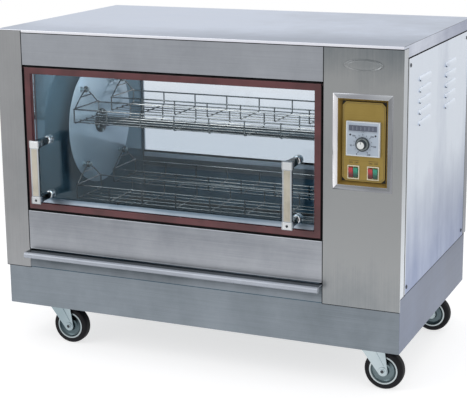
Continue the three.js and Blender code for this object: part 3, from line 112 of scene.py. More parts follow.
class Field:
    """A value that varies over a surface, and the tree that it lives in"""

    def __init__(self, tree, socket):
        self.tree = tree
        self.socket = socket

    def maths(self, operation, first, second):
        node = self.tree.nodes.new("ShaderNodeMath")
        node.operation = operation
        for socket, value in zip(node.inputs, (first, second)):
            feed(self.tree, socket, value)
        return Field(self.tree, node.outputs[0])

    def __add__(self, other):
        return self.maths("ADD", self, other)

    __radd__ = __add__

    def __mul__(self, other):
        return self.maths("MULTIPLY", self, other)

    __rmul__ = __mul__

    def __sub__(self, other):
        return self.maths("SUBTRACT", self, other)

    def __rsub__(self, other):
        return self.maths("SUBTRACT", other, self)

    def between(self, low, high):
        """0 below the low value, 1 above the high one, and eased from one to the other"""
        return grow(self.tree, "ShaderNodeMapRange", {"interpolation_type": "SMOOTHSTEP"},
                    **{"Value": self, "From Min": low, "From Max": high})


def feed(tree, socket, value):
    if isinstance(value, Field):
        tree.links.new(value.socket, socket)
    else:
        socket.default_value = value


def grow(tree, kind, settings=None, output=0, **sockets):
    """Adds a node: its settings first, then its sockets by name, or by place as _0, _1 and so on"""
    node = tree.nodes.new(kind)
    for name, value in (settings or {}).items():
        setattr(node, name, value)
    for name, value in sockets.items():
        key = int(name[1:]) if name[0] == "_" else name
        feed(tree, node.inputs[key], value)
    return Field(tree, node.outputs[output])


def paint(r, g, b):
    """A colour as the eye reads it, from 0 to 255, turned into the light that it sends back"""
    light = [(c / 255 / 12.92) if c < 11 else ((c / 255 + 0.055) / 1.055) ** 2.4 for c in (r, g, b)]
    return (*light, 1)


class Finish:
    """A material under construction"""

    def __init__(self, name):
        self.material = FINISHES[name] = bpy.data.materials.new(name)
        self.material.use_nodes = True
        self.tree = self.material.node_tree
        self.tree.nodes.clear()

    def add(self, kind, settings=None, output=0, **sockets):
        return grow(self.tree, kind, settings, output, **sockets)

    def place(self, stretch=(1, 1, 1)):
        where = self.add("ShaderNodeTexCoord", output=OBJECT_PLACE)
        return self.add("ShaderNodeVectorMath", {"operation": "MULTIPLY"}, _0=where, _1=stretch)

    def noise(self, scale, stretch=(1, 1, 1), detail=3.0, roughness=0.5):
        return self.add("ShaderNodeTexNoise", Vector=self.place(stretch), Scale=scale, Detail=detail,
                        Roughness=roughness)

    def level(self, axis, low, high):
        """0 to 1 along an axis, between two distances"""
        along = self.add("ShaderNodeSeparateXYZ", output="XYZ".index(axis), Vector=self.place())
        return along.between(low * MM, high * MM)

    def blend(self, mask, first, second):
        return self.add("ShaderNodeMix", {"data_type": "RGBA"}, MIXED_COLOUR, _0=mask, _6=paint(*first),
                        _7=paint(*second))

    def bump(self, height, strength, distance):
        return self.add("ShaderNodeBump", Height=height, Strength=strength, Distance=distance * MM)

    def principled(self, **sockets):
        return self.add("ShaderNodeBsdfPrincipled", **{k.replace("_", " "): v for k, v in sockets.items()})

    def done(self, surface):
        output = self.tree.nodes.new("ShaderNodeOutputMaterial")
        feed(self.tree, output.inputs["Surface"], surface)


# How far each pattern is drawn out along the grain, and how much of it shows
GRAIN = {"X": (2, 260, 260), "Y": (260, 2, 260), "Z": (260, 260, 2)}
BANDS = {"X": (3, 110, 110), "Y": (110, 3, 110), "Z": (110, 110, 3)}
STREAKS_SHOW, BANDS_SHOW, SMEARS_SHOW = 0.8, 0.3, 1.1
EVEN_CLOUD = (1.6, (1, 1, 1.4))
# Painted reflections: soft upright streaks for the side panels
PAINTED_REFLECTION_STREAKS = (1.5, (1, 6, 0.8))


def steel(name, dark, light, along="X", rough=0.34, metal=1.0, cloud=EVEN_CLOUD, drift=0.55, painted_shading=(),
          grain=1.0):
    """Brushed sheet: streaks along the grain, slow clouds, wiped smears, and painted light and shade graded
    along an axis
    """
    f = Finish(name)
    streak = f.noise(3.0, GRAIN[along], 4.0, 0.65)
    bands = f.noise(1.0, BANDS[along], 3.0, 0.6)
    clouds = f.noise(*cloud, 2.0).between(0.3, 0.7)
    smear = f.noise(9.0, (1, 1, 0.7), 6.0, 0.65)
    worn = (streak - 0.5) * STREAKS_SHOW + (bands - 0.5) * BANDS_SHOW + (smear - 0.5) * SMEARS_SHOW
    mask = 0.5 + worn * grain + (clouds - 0.5) * drift
    for axis, low, high, weight in painted_shading:
        mask = mask + (f.level(axis, low, high) - 0.5) * weight
    f.done(f.principled(
        Base_Color=f.blend(mask, dark, light), Metallic=metal,
        Roughness=rough + (streak - 0.5) * 0.14 * grain + (smear - 0.5) * 0.12,
        Normal=f.bump(streak, 0.2 * grain, 0.05),
    ))


def polished(name, dark, light, rough):
    """Bright metal with faint handling marks"""
    f = Finish(name)
    marks = f.noise(60, (1, 1, 1), 6.0, 0.6)
    slow = f.noise(6, (1, 1, 1), 2.0)
    f.done(f.principled(
        Base_Color=f.blend(slow.between(0.3, 0.7), dark, light), Metallic=1.0,
        Roughness=rough + (marks - 0.5) * 0.1 + marks.between(0.6, 0.8) * 0.05,
        Normal=f.bump(marks, 0.12, 0.05),
    ))


def moulded(name, dark, light, rough, grain=900, coat=0.0, painted_shading=(), specular=0.5):
    """Plastic, rubber or paint: a fine texture, a slow drift of tone, and painted shading graded along an
    axis where given
    """
    f = Finish(name)
    fine = f.noise(grain, detail=2.0)
    slow = f.noise(18, detail=3.0)
    mask = slow.between(0.3, 0.7) * 0.7 + (fine - 0.5) * 0.4
    for axis, low, high, weight in painted_shading:
        mask = mask * (1 - weight) + f.level(axis, low, high) * weight
    f.done(f.principled(
        Base_Color=f.blend(mask, dark, light), Roughness=rough + (fine - 0.5) * 0.18 + (slow - 0.5) * 0.1,
        Normal=f.bump(fine, 0.2, 0.04), Coat_Weight=coat, Coat_Roughness=0.15, Specular_IOR_Level=specular,
    ))


GLASS_INDEX = 1.45
GLASS_SHEEN = (0.78, 0.9, 0.98, 1)


def pane(name, tint, foot_shade_tint, levels, shine):
    """Flat glass: clear, with painted shade that dims it towards its foot, a film, and a reflection that
    grows at a slant
    """
    f = Finish(name)
    film = f.noise(9, (1, 1, 0.5), 5.0, 0.6)
    facing = f.add("ShaderNodeFresnel", IOR=GLASS_INDEX)
    mask = facing * shine + film.between(0.45, 0.8) * 0.02
    fade = f.level("Z", *levels) + (film - 0.5) * 0.5
    upper = f.add("ShaderNodeBsdfTransparent", Color=(*tint, 1))
    lower = f.add("ShaderNodeBsdfTransparent", Color=(*foot_shade_tint, 1))
    clear = f.add("ShaderNodeMixShader", _0=fade, _1=lower, _2=upper)
    gloss = f.principled(Base_Color=GLASS_SHEEN, Metallic=1.0, Roughness=0.02 + film * 0.03)
    f.done(f.add("ShaderNodeMixShader", _0=mask, _1=clear, _2=gloss))


# Finishes: a dark and a light tone, and what else sets each apart
steel("fascia_steel", (146, 150, 157), (174, 178, 185), drift=0.2)
# Lower fascia: painted light, lighter towards its foot
steel("sill_steel", (138, 142, 149), (178, 181, 187), drift=0.3, painted_shading=[("Z", 360, 275, 0.3)])
steel("post_steel", (144, 146, 148), (168, 169, 171), along="Z", drift=0.3)
# Control column: painted shade, darker towards its top and towards its foot
steel("column_steel", (105, 114, 120), (158, 160, 161), along="Z", drift=0.2,
      painted_shading=[("Z", 870, 735, 0.75), ("Z", 215, 420, 0.45)], grain=0.75)
# Top cover: painted reflection, darker near its front edge and lighter towards the left
steel("pale_steel", (144, 155, 174), (196, 206, 224), drift=0.2,
      painted_shading=[("Y", -307, -30, 0.8), ("X", 560, -300, 0.65)])
# Painted highlight on the top cover's front lip, less bright where it runs over the column
steel("lip_painted_highlight", (236, 238, 250), (250, 251, 255), rough=0.3)
steel("lip_end_painted_highlight", (186, 192, 206), (212, 216, 228), rough=0.3)
# Side panels and louvres: painted light, lighter towards the top, with the painted reflection streaks
steel("side_steel", (130, 144, 178), (236, 244, 255), along="Z", cloud=PAINTED_REFLECTION_STREAKS, drift=0.26,
      painted_shading=[("Z", 240, 620, 0.95)], grain=0.5)
# Painted light on the top cover's side lip, lighter towards the front
steel("side_lip_painted_light", (160, 168, 192), (226, 232, 246), along="Y", drift=0.2, painted_shading=[("Y", 353, -307, 0.9)])
# Painted shade: a dark line along the fold between the top and its side lip
steel("fold_painted_shade", (96, 102, 114), (140, 146, 158), along="Y", rough=0.4, metal=0.7)
# Plinth front: painted light, lighter towards the left
steel("plinth_steel", (108, 116, 122), (143, 151, 159), rough=0.36, drift=0.3, painted_shading=[("X", 560, -520, 0.4)])
# Painted shade: the plinth's sides, darker than its front
steel("plinth_side_painted_shade", (80, 90, 110), (122, 132, 154), along="Y", rough=0.36)
steel("rear_steel", (140, 144, 152), (170, 174, 180), rough=0.38)
# Painted light: the lower rail of the rear window frame and the rail along the pane's foot
steel("window_rail_painted_light", (196, 210, 226), (224, 236, 248), rough=0.3, metal=0.2)
steel("chamber_steel", (72, 106, 124), (112, 148, 166), along="Y", rough=0.12, metal=0.5, grain=0.2)
steel("floor_steel", (40, 72, 90), (68, 102, 118), rough=0.24, metal=0.5, grain=0.3)
steel("disc_steel", (150, 184, 208), (212, 230, 242), along="Z", rough=0.16, metal=0.4, grain=0.4)
# Painted highlight: the column's return edge and strips along the side panels' front hems
steel("return_painted_highlight", (190, 195, 201), (222, 227, 232), along="Z", rough=0.3)
steel("chamber_back", (54, 92, 116), (86, 128, 152), rough=0.24, metal=0.2, grain=0.3)
# Painted highlight for the hems over the door sill and the drip tray
steel("hem_painted_highlight", (176, 182, 190), (206, 210, 217), rough=0.3, metal=0.6)
# Painted reflection: the bezel's well walls tinted gold as the plate's reflection
steel("well_painted_gold_reflection", (140, 114, 56), (180, 154, 92), along="Z", rough=0.3, metal=0.45)
# Painted light: the ledge's nose and top, lighter than the tray
steel("ledge_painted_light", (150, 156, 166), (186, 192, 202), rough=0.3, metal=0.45)
# Tray front: painted shadow under the ledge, darker towards its top
steel("tray_steel", (72, 79, 84), (130, 137, 144), painted_shading=[("Z", 250, 220, 0.7)])
steel("shaft_steel", (50, 62, 70), (78, 90, 98), rough=0.3)
# Door glass bead: painted light, lighter towards its foot
steel("bead_steel", (92, 108, 122), (160, 170, 182), rough=0.3, metal=0.6, painted_shading=[("Z", 412, 400, 0.8)])
steel("gold_plate", (142, 120, 58), (178, 154, 86), rough=0.36, metal=0.55)
steel("heater_oxide", (44, 40, 38), (78, 70, 66), rough=0.5, metal=0.7)
steel("dark_steel", (50, 54, 58), (80, 84, 88), rough=0.4)

polished("bezel_metal", (190, 194, 202), (222, 225, 232), 0.24)
# Lit and shaded copies of the bezel metal: the left rim as painted highlight, the top, right and low rims as
# painted shade
polished("bezel_left_painted_highlight", (228, 226, 230), (250, 250, 252), 0.24)
polished("bezel_top_painted_shade", (160, 162, 168), (194, 198, 202), 0.24)
polished("bezel_low_painted_shade", (128, 130, 134), (156, 158, 162), 0.24)
polished("tyre_band", (150, 162, 166), (196, 204, 206), 0.3)
polished("chrome", (170, 176, 182), (208, 212, 216), 0.08)
# Lit and shaded copies of chrome: a painted dark reflection for the handle arms, a painted bright reflection
# for the ends, washers and nuts
polished("chrome_painted_dark_reflection", (28, 38, 44), (78, 90, 96), 0.16)
polished("bright_chrome", (212, 216, 219), (240, 242, 244), 0.16)
polished("wire_chrome", (96, 102, 106), (158, 158, 156), 0.26)
polished("zinc", (150, 166, 172), (192, 204, 208), 0.34)
polished("hub_zinc", (58, 74, 80), (116, 130, 134), 0.3)

ROCKER_SHADE = [("Z", 544, 557, 0.9)]
moulded("maroon_coat", (74, 32, 36), (102, 50, 55), 0.36, grain=700, coat=0.25)
moulded("seal_rubber", (8, 8, 9), (20, 20, 21), 0.75, specular=0.2)
moulded("seam_shadow", (8, 9, 12), (20, 22, 27), 0.8, specular=0.1)
moulded("tyre_rubber", (8, 9, 13), (22, 23, 28), 0.62, grain=500, specular=0.25)
moulded("black_plastic", (12, 12, 13), (26, 26, 28), 0.5, specular=0.3)
moulded("ivory_strip", (172, 166, 150), (208, 202, 187), 0.3, grain=500, coat=0.4)
moulded("thermostat_face", (160, 174, 190), (186, 197, 210), 0.42)
moulded("thermostat_rim", (196, 204, 212), (220, 226, 232), 0.35)
moulded("display_glass", (66, 74, 92), (90, 98, 116), 0.12, grain=200, coat=0.6)
moulded("display_bars", (150, 160, 172), (176, 184, 196), 0.3)
moulded("slate_plastic", (38, 48, 55), (56, 66, 74), 0.4)
moulded("knob_grey", (110, 120, 122), (140, 148, 150), 0.4)
moulded("knob_cap", (210, 215, 216), (234, 237, 237), 0.28, grain=400, coat=0.3)
moulded("print_ink", (40, 48, 62), (60, 68, 84), 0.5)
moulded("plate_ink", (52, 42, 22), (72, 60, 34), 0.5)
moulded("cream_plastic", (218, 210, 184), (236, 230, 208), 0.35, grain=600, coat=0.2)
moulded("red_rocker", (84, 14, 22), (178, 38, 46), 0.25, grain=400, coat=0.4, painted_shading=ROCKER_SHADE)
moulded("green_rocker", (6, 62, 50), (20, 140, 114), 0.25, grain=400, coat=0.4, painted_shading=ROCKER_SHADE)
moulded("cast_grey", (96, 100, 102), (126, 130, 132), 0.55, grain=300)

# Both panes are dimmed towards their foot as painted shade
pane("door_pane", (0.93, 0.955, 0.97), (0.90, 0.94, 0.96), (380, 760), 0.7)
pane("rear_pane", (0.975, 0.975, 0.99), (0.80, 0.825, 0.865), (490, 720), 0.6)


# Meshes
SHARP_ANGLE = 32
BEVEL_ANGLE = 30
WELD, FLAT_ANGLE = 1e-6, 0.5


def merged(forms):
    points, faces = [], []
    for form_points, form_faces in forms:
        start = len(points)
        points += form_points
        faces += [[start + i for i in face] for face in form_faces]
    return points, faces


def dress(made, faces):
    """Gives the faces that pass a test their own finish"""
    for slot, (other, test) in enumerate(faces, 1):
        made.data.materials.append(FINISHES[other])
        for polygon in made.data.polygons:
            if test(polygon.normal, polygon.center / MM):
                polygon.material_index = slot
    return made


def piece(name, form, finish, body="cabinet", replaces=(), bevel=0.0, faces=(), **easing):
    """Makes a closed mesh of one form or a list of forms, eases its sharp edges, and puts it on its body"""
    points, outlines = merged(form) if isinstance(form, list) else form
    bm = bmesh.new()
    verts = [bm.verts.new([c * MM for c in point]) for point in points]
    for outline in outlines:
        bm.faces.new([verts[i] for i in outline])
    bmesh.ops.recalc_face_normals(bm, faces=bm.faces)
    return dress(finished(name, bm, finish, body, replaces, bevel, **easing), faces)


def finished(name, bm, finish, body="cabinet", replaces=(), bevel=0.0, sharp=SHARP_ANGLE, segments=2):
    """Eases a mesh, shades and coats it, and puts it on its body in place of its CAD nodes"""
    if bevel:
        edges = [e for e in bm.edges if e.is_manifold and e.calc_face_angle(0) > radians(BEVEL_ANGLE)]
        bmesh.ops.bevel(bm, geom=edges, offset=bevel * MM, segments=segments, profile=0.5, affect="EDGES",
                        clamp_overlap=True)
    mesh = bpy.data.meshes.new(name)
    bm.to_mesh(mesh)
    bm.free()
    mesh.shade_smooth()
    mesh.set_sharp_from_angle(angle=radians(sharp))
    mesh.materials.append(FINISHES[finish])
    made = put(name, mesh)
    if bevel:
        made.modifiers.new("flat_faces", "WEIGHTED_NORMAL").keep_sharp = True
    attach(made, body)
    if replaces:
        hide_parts(*replaces)
    return made


def eased(node, finish, bevel, faces=()):
    """The CAD sheet with its triangles joined into whole faces and its edges eased"""
    bm = bmesh.new()
    bm.from_mesh(NODES[node].data)
    bmesh.ops.remove_doubles(bm, verts=bm.verts, dist=WELD)
    bmesh.ops.dissolve_limit(bm, angle_limit=radians(FLAT_ANGLE), verts=bm.verts, edges=bm.edges)
    return dress(finished(node + "_sheet", bm, finish, NODES[node]["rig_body"], [node], bevel), faces)


def turned(profile, centre, axis, steps=64):
    """Turns (radius, height) points round an axis; a profile off the axis closes on itself"""
    closed = profile[0][0] > 0 and profile[-1][0] > 0
    rings, points, faces = [], [], []
    for radius, height in profile:
        ring = []
        for i in range(steps if radius > 0 else 1):
            angle = 2 * pi * i / steps
            u, v = radius * cos(angle), radius * sin(angle)
            local = {"x": (height, u, v), "y": (v, height, u), "z": (u, v, height)}[axis]
            ring.append(len(points))
            points.append([c + l for c, l in zip(centre, local)])
        rings.append(ring)
    pairs = list(zip(rings, rings[1:])) + ([(rings[-1], rings[0])] if closed else [])
    for a, b in pairs:
        for i in range(steps):
            j = (i + 1) % steps
            face = [a[i % len(a)], a[j % len(a)], b[j % len(b)], b[i % len(b)]]
            face = [k for n, k in enumerate(face) if k not in face[:n]]
            if len(face) > 2:
                faces.append(face)
    return points, faces


def soft_corners(profile, radius, steps=3, closed=False):
    """Rounds the corners of a line of points, where there is room for it"""
    room = 0.45
    out = []
    count = len(profile)
    for i, point in enumerate(profile):
        if not closed and i in (0, count - 1):
            out.append(point)
            continue
        here = Vector(point)
        before, after = Vector(profile[i - 1]) - here, Vector(profile[(i + 1) % count]) - here
        reach = min(radius, before.length * room, after.length * room)
        a, b = here + before.normalized() * reach, here + after.normalized() * reach
        for k in range(steps + 1):
            t = k / steps
            out.append(tuple(a * (1 - t) ** 2 + here * 2 * t * (1 - t) + b * t ** 2))
    return out


def strung(points, sides, joined=False):
    """Skins rings of points, one after another: capped at both ends, or with the last joined to the first"""
    count = len(points) // sides
    faces = []
    for i in range(count if joined else count - 1):
        j = (i + 1) % count
        for k in range(sides):
            m = (k + 1) % sides
            faces.append([i * sides + k, i * sides + m, j * sides + m, j * sides + k])
    if not joined:
        faces += [list(range(sides))[::-1], list(range((count - 1) * sides, count * sides))]
    return points, faces


def tube(path, radius, sides=10, closed=False):
    """A round bar along a line of points, with its own frame carried along it"""
    line = [Vector(p) for p in path]
    count = len(line)
    points, side = [], None
    for i, here in enumerate(line):
        ahead = line[(i + 1) % count] if closed or i < count - 1 else here
        behind = line[i - 1] if closed or i > 0 else here
        along = (ahead - behind).normalized()
        if side is None:
            side = along.orthogonal().normalized()
        side = (side - along * side.dot(along)).normalized()
        up = along.cross(side)
        for k in range(sides):
            angle = 2 * pi * k / sides
            points.append(list(here + (side * cos(angle) + up * sin(angle)) * radius))
    return strung(points, sides, closed)


def slab(outline, axis, low, high):
    """An outline pushed through along an axis: along y it is (x, z), along x (y, z), along z (x, y)"""
    def at(u, v, w):
        return {"x": [w, u, v], "y": [u, w, v], "z": [u, v, w]}[axis]
    count = len(outline)
    points = [at(u, v, low) for u, v in outline] + [at(u, v, high) for u, v in outline]
    faces = [list(range(count))[::-1], list(range(count, 2 * count))]
    faces += [[i, (i + 1) % count, (i + 1) % count + count, i + count] for i in range(count)]
    return points, faces


def box(low, high):
    (x0, y0, z0), (x1, y1, z1) = low, high
    return slab([(x0, y0), (x1, y0), (x1, y1), (x0, y1)], "z", z0, z1)


def mitred(outer, front, profile):
    """A frame round a rectangle (x0, x1, z0, z1): profile points are (inwards, backwards from the front)"""
    x0, x1, z0, z1 = outer
    points = []
    for u, v in profile:
        y = front + v
        points += [[x0 + u, y, z0 + u], [x1 - u, y, z0 + u], [x1 - u, y, z1 - u], [x0 + u, y, z1 - u]]
    return strung(points, 4, True)


def rounded_rect(x0, x1, z0, z1, radius):
    return soft_corners([(x0, z0), (x1, z0), (x1, z1), (x0, z1)], radius, 5, True)


def dome_screw(x, y, z, radius, rise, axis, way):
    profile = [(0, 0), (radius, 0), (radius, rise * 0.35), (radius * 0.8, rise * 0.8), (radius * 0.4, rise),
               (0, rise)]
    return turned([(r, way * h) for r, h in profile], (x, y, z), axis, 24)


def arc(u, v, radius, angles, squash=1):
    """Points round a centre, flattened upwards by a share"""
    return [(u + radius * cos(a), v + radius * squash * sin(a)) for a in angles]


def hexagon(x, y, z, radius, axis, low, high):
    centre = {"x": (y, z), "y": (x, z), "z": (x, y)}[axis]
    return slab(arc(*centre, radius, [pi * i / 3 for i in range(6)]), axis, low, high)


def mirrored(near, far, middle=0):
    """The spans between two distances from the middle, on either side of it"""
    return [sorted((middle + way * near, middle + way * far)) for way in (-1, 1)]


def lifted(profile, base, way=1):
    """A turned profile, with its heights counted from a base in one direction or the other"""
    return [(radius, base + way * height) for radius, height in profile]


# Cabinet sheets
FRONT, REAR, TOP, SIDE = -307.0, 353.0, 856.0, 550.0
POST_EDGE, COLUMN_EDGE, COLUMN_MID = -476.0, 354.0, 452.0
SILL, TRAY_HEAD, PLINTH_HEAD = 375.0, 271.0, 217.0
LIP_BOTTOM = span("control_column")[1][2]
LIP_DEPTH, SKIN_DEPTH, RAIL_HEAD = 1.2, 3, 500
# How far a face leans before it counts as looking to the front, the side, up at a slant or inwards
FRONT_LEAN, SIDE_LEAN, FOLD_LEAN, INWARD_LEAN = 0.4, 0.6, 0.2, 0.5


def front_lip(normal, centre):
    return centre.y < FRONT + LIP_DEPTH and normal.y < -FRONT_LEAN


def column_lip(normal, centre):
    return front_lip(normal, centre) and centre.x >= COLUMN_EDGE


def outer_side(normal, centre):
    return abs(normal.x) > SIDE_LEAN and abs(centre.x) > SIDE - SKIN_DEPTH


def side_fold(normal, centre):
    return min(abs(normal.x), normal.z) > FOLD_LEAN and abs(centre.x) > SIDE - SKIN_DEPTH


def lower_rail(normal, centre):
    return centre.z < RAIL_HEAD


def inward(normal, centre):
    return normal.y < -INWARD_LEAN


TOP_FACES = [("lip_painted_highlight", front_lip), ("lip_end_painted_highlight", column_lip), ("side_lip_painted_light", outer_side),
             ("fold_painted_shade", side_fold)]
SHEETS = [
    ("left_post", "post_steel", 0.8, [("side_steel", outer_side)]),
    ("control_column", "column_steel", 0.8, [("return_painted_highlight", outer_side)]),
    ("upper_fascia", "fascia_steel", 0.8, []),
    ("lower_fascia", "sill_steel", 0.8, []),
    ("top_cover", "pale_steel", 0.9, TOP_FACES),
    ("plinth_frame", "plinth_steel", 1.0, [("plinth_side_painted_shade", outer_side)]),
    ("rear_panel", "rear_steel", 0.9, [("chamber_back", inward)]),
    # Its lower rail takes the painted light finish
    ("rear_window_frame", "rear_steel", 1.2, [("window_rail_painted_light", lower_rail)]),
]
for node, finish, bevel, faces in SHEETS:
    eased(node, finish, bevel, faces)

# A rail and a gasket along the foot of the rear pane: distances before the pane, then heights over its foot
pane_low, pane_high = span("rear_glass")
for name, finish, near, far, foot, head, bevel in (
    # The rail's pale finish is painted light
    ("rear_window_rail", "window_rail_painted_light", 7, 1.5, -2, 12, 0.8),
    ("rear_pane_gasket", "seal_rubber", 5, 0.8, 12.2, 18, 0.6),
):
    form = box((pane_low[0], pane_low[1] - near, pane_low[2] + foot),
               (pane_high[0], pane_low[1] - far, pane_low[2] + head))
    piece(name, form, finish, bevel=bevel)

INNER_BEVEL = 0.4
eased("chassis_deck", "floor_steel", INNER_BEVEL)
for node in ("chamber_left_wall", "chamber_right_wall", "chamber_roof"):
    eased(node, "chamber_steel", INNER_BEVEL)

# Painted highlights along the side panels' front hems, and dark strips of painted shade in the joints between
# the sheets
PROUD = 0.08
PANEL_FRONT, PANEL_REAR = (corner[1] for corner in span("right_side_panel"))
PANEL_FOOT, PANEL_HEAD, JOINT_HEAD = 249.5, 822.9, 826
side_hems = [box((a, PANEL_FRONT + 0.2, PANEL_FOOT + 1), (b, PANEL_FRONT + 5.4, PANEL_HEAD))
             for a, b in mirrored(SIDE - 0.5, SIDE + 0.45)]
piece("side_panel_hem_highlights", side_hems, "return_painted_highlight", bevel=0.3)
FRONT_JOINTS = [
    (POST_EDGE - 0.9, POST_EDGE + 1.1, TRAY_HEAD - 1, TOP - 1, 1.6),
    (COLUMN_EDGE - 1.1, COLUMN_EDGE + 0.9, PLINTH_HEAD + 2, LIP_BOTTOM - 0.5, 1.6),
    (0.6 - SIDE, POST_EDGE + 1, PLINTH_HEAD - 0.8, PLINTH_HEAD + 0.8, 1.7),
    (COLUMN_EDGE - 1, SIDE - 0.6, PLINTH_HEAD - 0.8, PLINTH_HEAD + 0.8, 1.7),
    (POST_EDGE + 1, SIDE - 0.6, LIP_BOTTOM - 0.8, LIP_BOTTOM + 0.8, 1.6),
]
SIDE_JOINTS = [
    (PANEL_FRONT - 4.4, PANEL_FRONT + 0.2, PANEL_FOOT, JOINT_HEAD),
    (PANEL_REAR - 0.6, PANEL_REAR + 1.9, PANEL_FOOT, JOINT_HEAD),
    (PANEL_FRONT - 4.4, PANEL_REAR + 1.9, PANEL_HEAD, JOINT_HEAD + 0.6),
    (FRONT + 3, PANEL_REAR + 20, PANEL_FOOT - 1.7, PANEL_FOOT + 0.1),
]
joints = [box((x0, FRONT - PROUD, z0), (x1, FRONT + deep, z1)) for x0, x1, z0, z1, deep in FRONT_JOINTS]
for a, b in mirrored(SIDE - 1.7, SIDE + PROUD):
    joints += [box((a, y0, z0), (b, y1, z1)) for y0, y1, z0, z1 in SIDE_JOINTS]
piece("sheet_joint_shadows", joints, "seam_shadow")

# Painted highlights: bright strips along the hems over the door sill and over the drip tray
hems = [box((POST_EDGE + 2.4, FRONT - 0.25, z0), (COLUMN_EDGE - 2.4, FRONT + 0.9, z1))
        for z0, z1 in ((SILL - 2.2, SILL - 0.2), (TRAY_HEAD - 1.4, TRAY_HEAD + 1.2))]
piece("fascia_hem_highlights", hems, "hem_painted_highlight", bevel=0.2)

# Raised bare oval over the controls: each ring is (share of its size, height behind the column's face)
OVAL_HALF, OVAL_SQUASH, OVAL_DROP, OVAL_SIDES = 49.3, 14.2 / 49.3, 47, 72
OVAL_RINGS = [(1.0, 0.4), (1.0, -0.3), (0.99, -1.3), (0.965, -2.1), (0.93, -2.3), (0.895, -1.9), (0.87, -1.2),
              (0.85, -0.95), (0.76, -0.95), (0.74, -1.4), (0.71, -1.7), (0.68, -1.5), (0.3, -1.9)]
round_oval = [2 * pi * i / OVAL_SIDES for i in range(OVAL_SIDES)]
oval = [[u, FRONT + lift, v] for share, lift in OVAL_RINGS
        for u, v in arc(COLUMN_MID, TOP - OVAL_DROP, OVAL_HALF * share, round_oval, OVAL_SQUASH)]
piece("badge_oval", strung(oval, OVAL_SIDES), "column_steel")


# Louvres and screws of the side panels, with dark strips of painted shade in the slots under the hoods
def louvre_hood(way, middle, top):
    """A pressed hood: it bulges out from its top edge, ends in a lip, and runs out at both ends"""
    length, tail, drop, rise, wall, most = 88.0, 7.0, 12.0, 5.25, 0.9, 5.0
    sunk, over_top, ends_drop = 0.3, 0.6, 0.4
    tail_steps, curve_steps = 6, 8
    stations = [-length / 2 - tail * cos(pi / 2 * i / tail_steps) for i in range(tail_steps + 1)]
    stations += [-s for s in reversed(stations)]
    curve = [pi / 2 * k / curve_steps for k in range(curve_steps + 1)]
    points = []
    for y in stations:
        past = max(0.0, abs(y) - length / 2) / tail
        swell = sqrt(max(0.0, 1 - past * past))
        for depth, angles in ((sunk, curve), (sunk + wall, curve[::-1])):
            for angle in angles:
                out = min(rise * swell * sin(angle) - depth, most)
                down = drop * (1 - cos(angle)) * (ends_drop + (1 - ends_drop) * swell)
                points.append([way * (SIDE + out), middle + y, top + over_top - down])
    return strung(points, 2 * len(curve))


LOUVRES = [(bank, TOP - 88 - 27 * row) for bank in (-122, 128) for row in range(5)]
SLOT_DROP, SLOT_HEIGHT, SLOT_HALF = 12.2, 1.9, 45
SCREW_INSET, SCREW_SEAT, SCREW_RADIUS, SCREW_RISE = 18, SIDE - 0.4, 5.2, 2.4
for side, way, (a, b) in zip(("left", "right"), (-1, 1), mirrored(SIDE - 0.4, SIDE + 1.6)):
    hoods = [louvre_hood(way, bank, top) for bank, top in LOUVRES]
    piece(f"{side}_louvres", hoods, "side_steel", sharp=50)
    slots = [box((a, bank - SLOT_HALF, top - SLOT_DROP), (b, bank + SLOT_HALF, top - SLOT_DROP + SLOT_HEIGHT))
             for bank, top in LOUVRES]
    piece(f"{side}_louvre_slot_shadows", slots, "seam_shadow")
    low, high = span(f"{side}_side_panel")
    heads = [dome_screw(way * SCREW_SEAT, y, z, SCREW_RADIUS, SCREW_RISE, "x", way)
             for y in (low[1] + SCREW_INSET, high[1] - SCREW_INSET)
             for z in (low[2] + SCREW_INSET, high[2] - SCREW_INSET)]
    piece(f"{side}_panel_screws", heads, "dark_steel")

# Door: coated frame with its hinge studs, gasket round its edge, bead under the glass and seal behind it
DOOR = (-473.0, 351.0, 378.0, 762.0)
GASKET = [(0, 24), (0, 1.6), (0.7, 0.9), (2.4, 0.9), (2.4, 24)]
FRAME = [(2.2, 23.8), (2.2, 1.6), (3.8, 0), (18.2, 0), (19.2, 1.0), (19.2, 8.0), (21, 9.0), (21, 24)]
BEAD = [(-303.0, 399.2), (-296.3, 399.2), (-296.3, 411.5), (-297.6, 411.5), (-302.2, 401.5)]
BEAD_ENDS = (-451.6, 329.6)
HINGE_Y, HINGE_Z, STUD_RADIUS = -302, 757, 3.0
STUD_ENDS = ((-480, -471), (349, 358))
SEAL = [(0, 0), (10, 0), (10, 3), (0, 3)]
piece("door_edge_gasket", mitred(DOOR, FRONT, GASKET), "seal_rubber", "door")
ring = mitred(DOOR, FRONT, soft_corners(FRAME, 0.5, 2, True))
studs = [tube([(a, HINGE_Y, HINGE_Z), (b, HINGE_Y, HINGE_Z)], STUD_RADIUS, 20) for a, b in STUD_ENDS]
piece("door_frame_coated", [ring, *studs], "maroon_coat", "door", ["door_frame"])
piece("door_glass_bead", slab(BEAD, "x", *BEAD_ENDS), "bead_steel", "door", bevel=0.4)
low, high = span("door_seal")
seal = mitred((low[0], high[0], low[2], high[2]), low[1], soft_corners(SEAL, 1.2, 3, True))
piece("door_seal_lip", seal, "seal_rubber", "door", ["door_seal"])


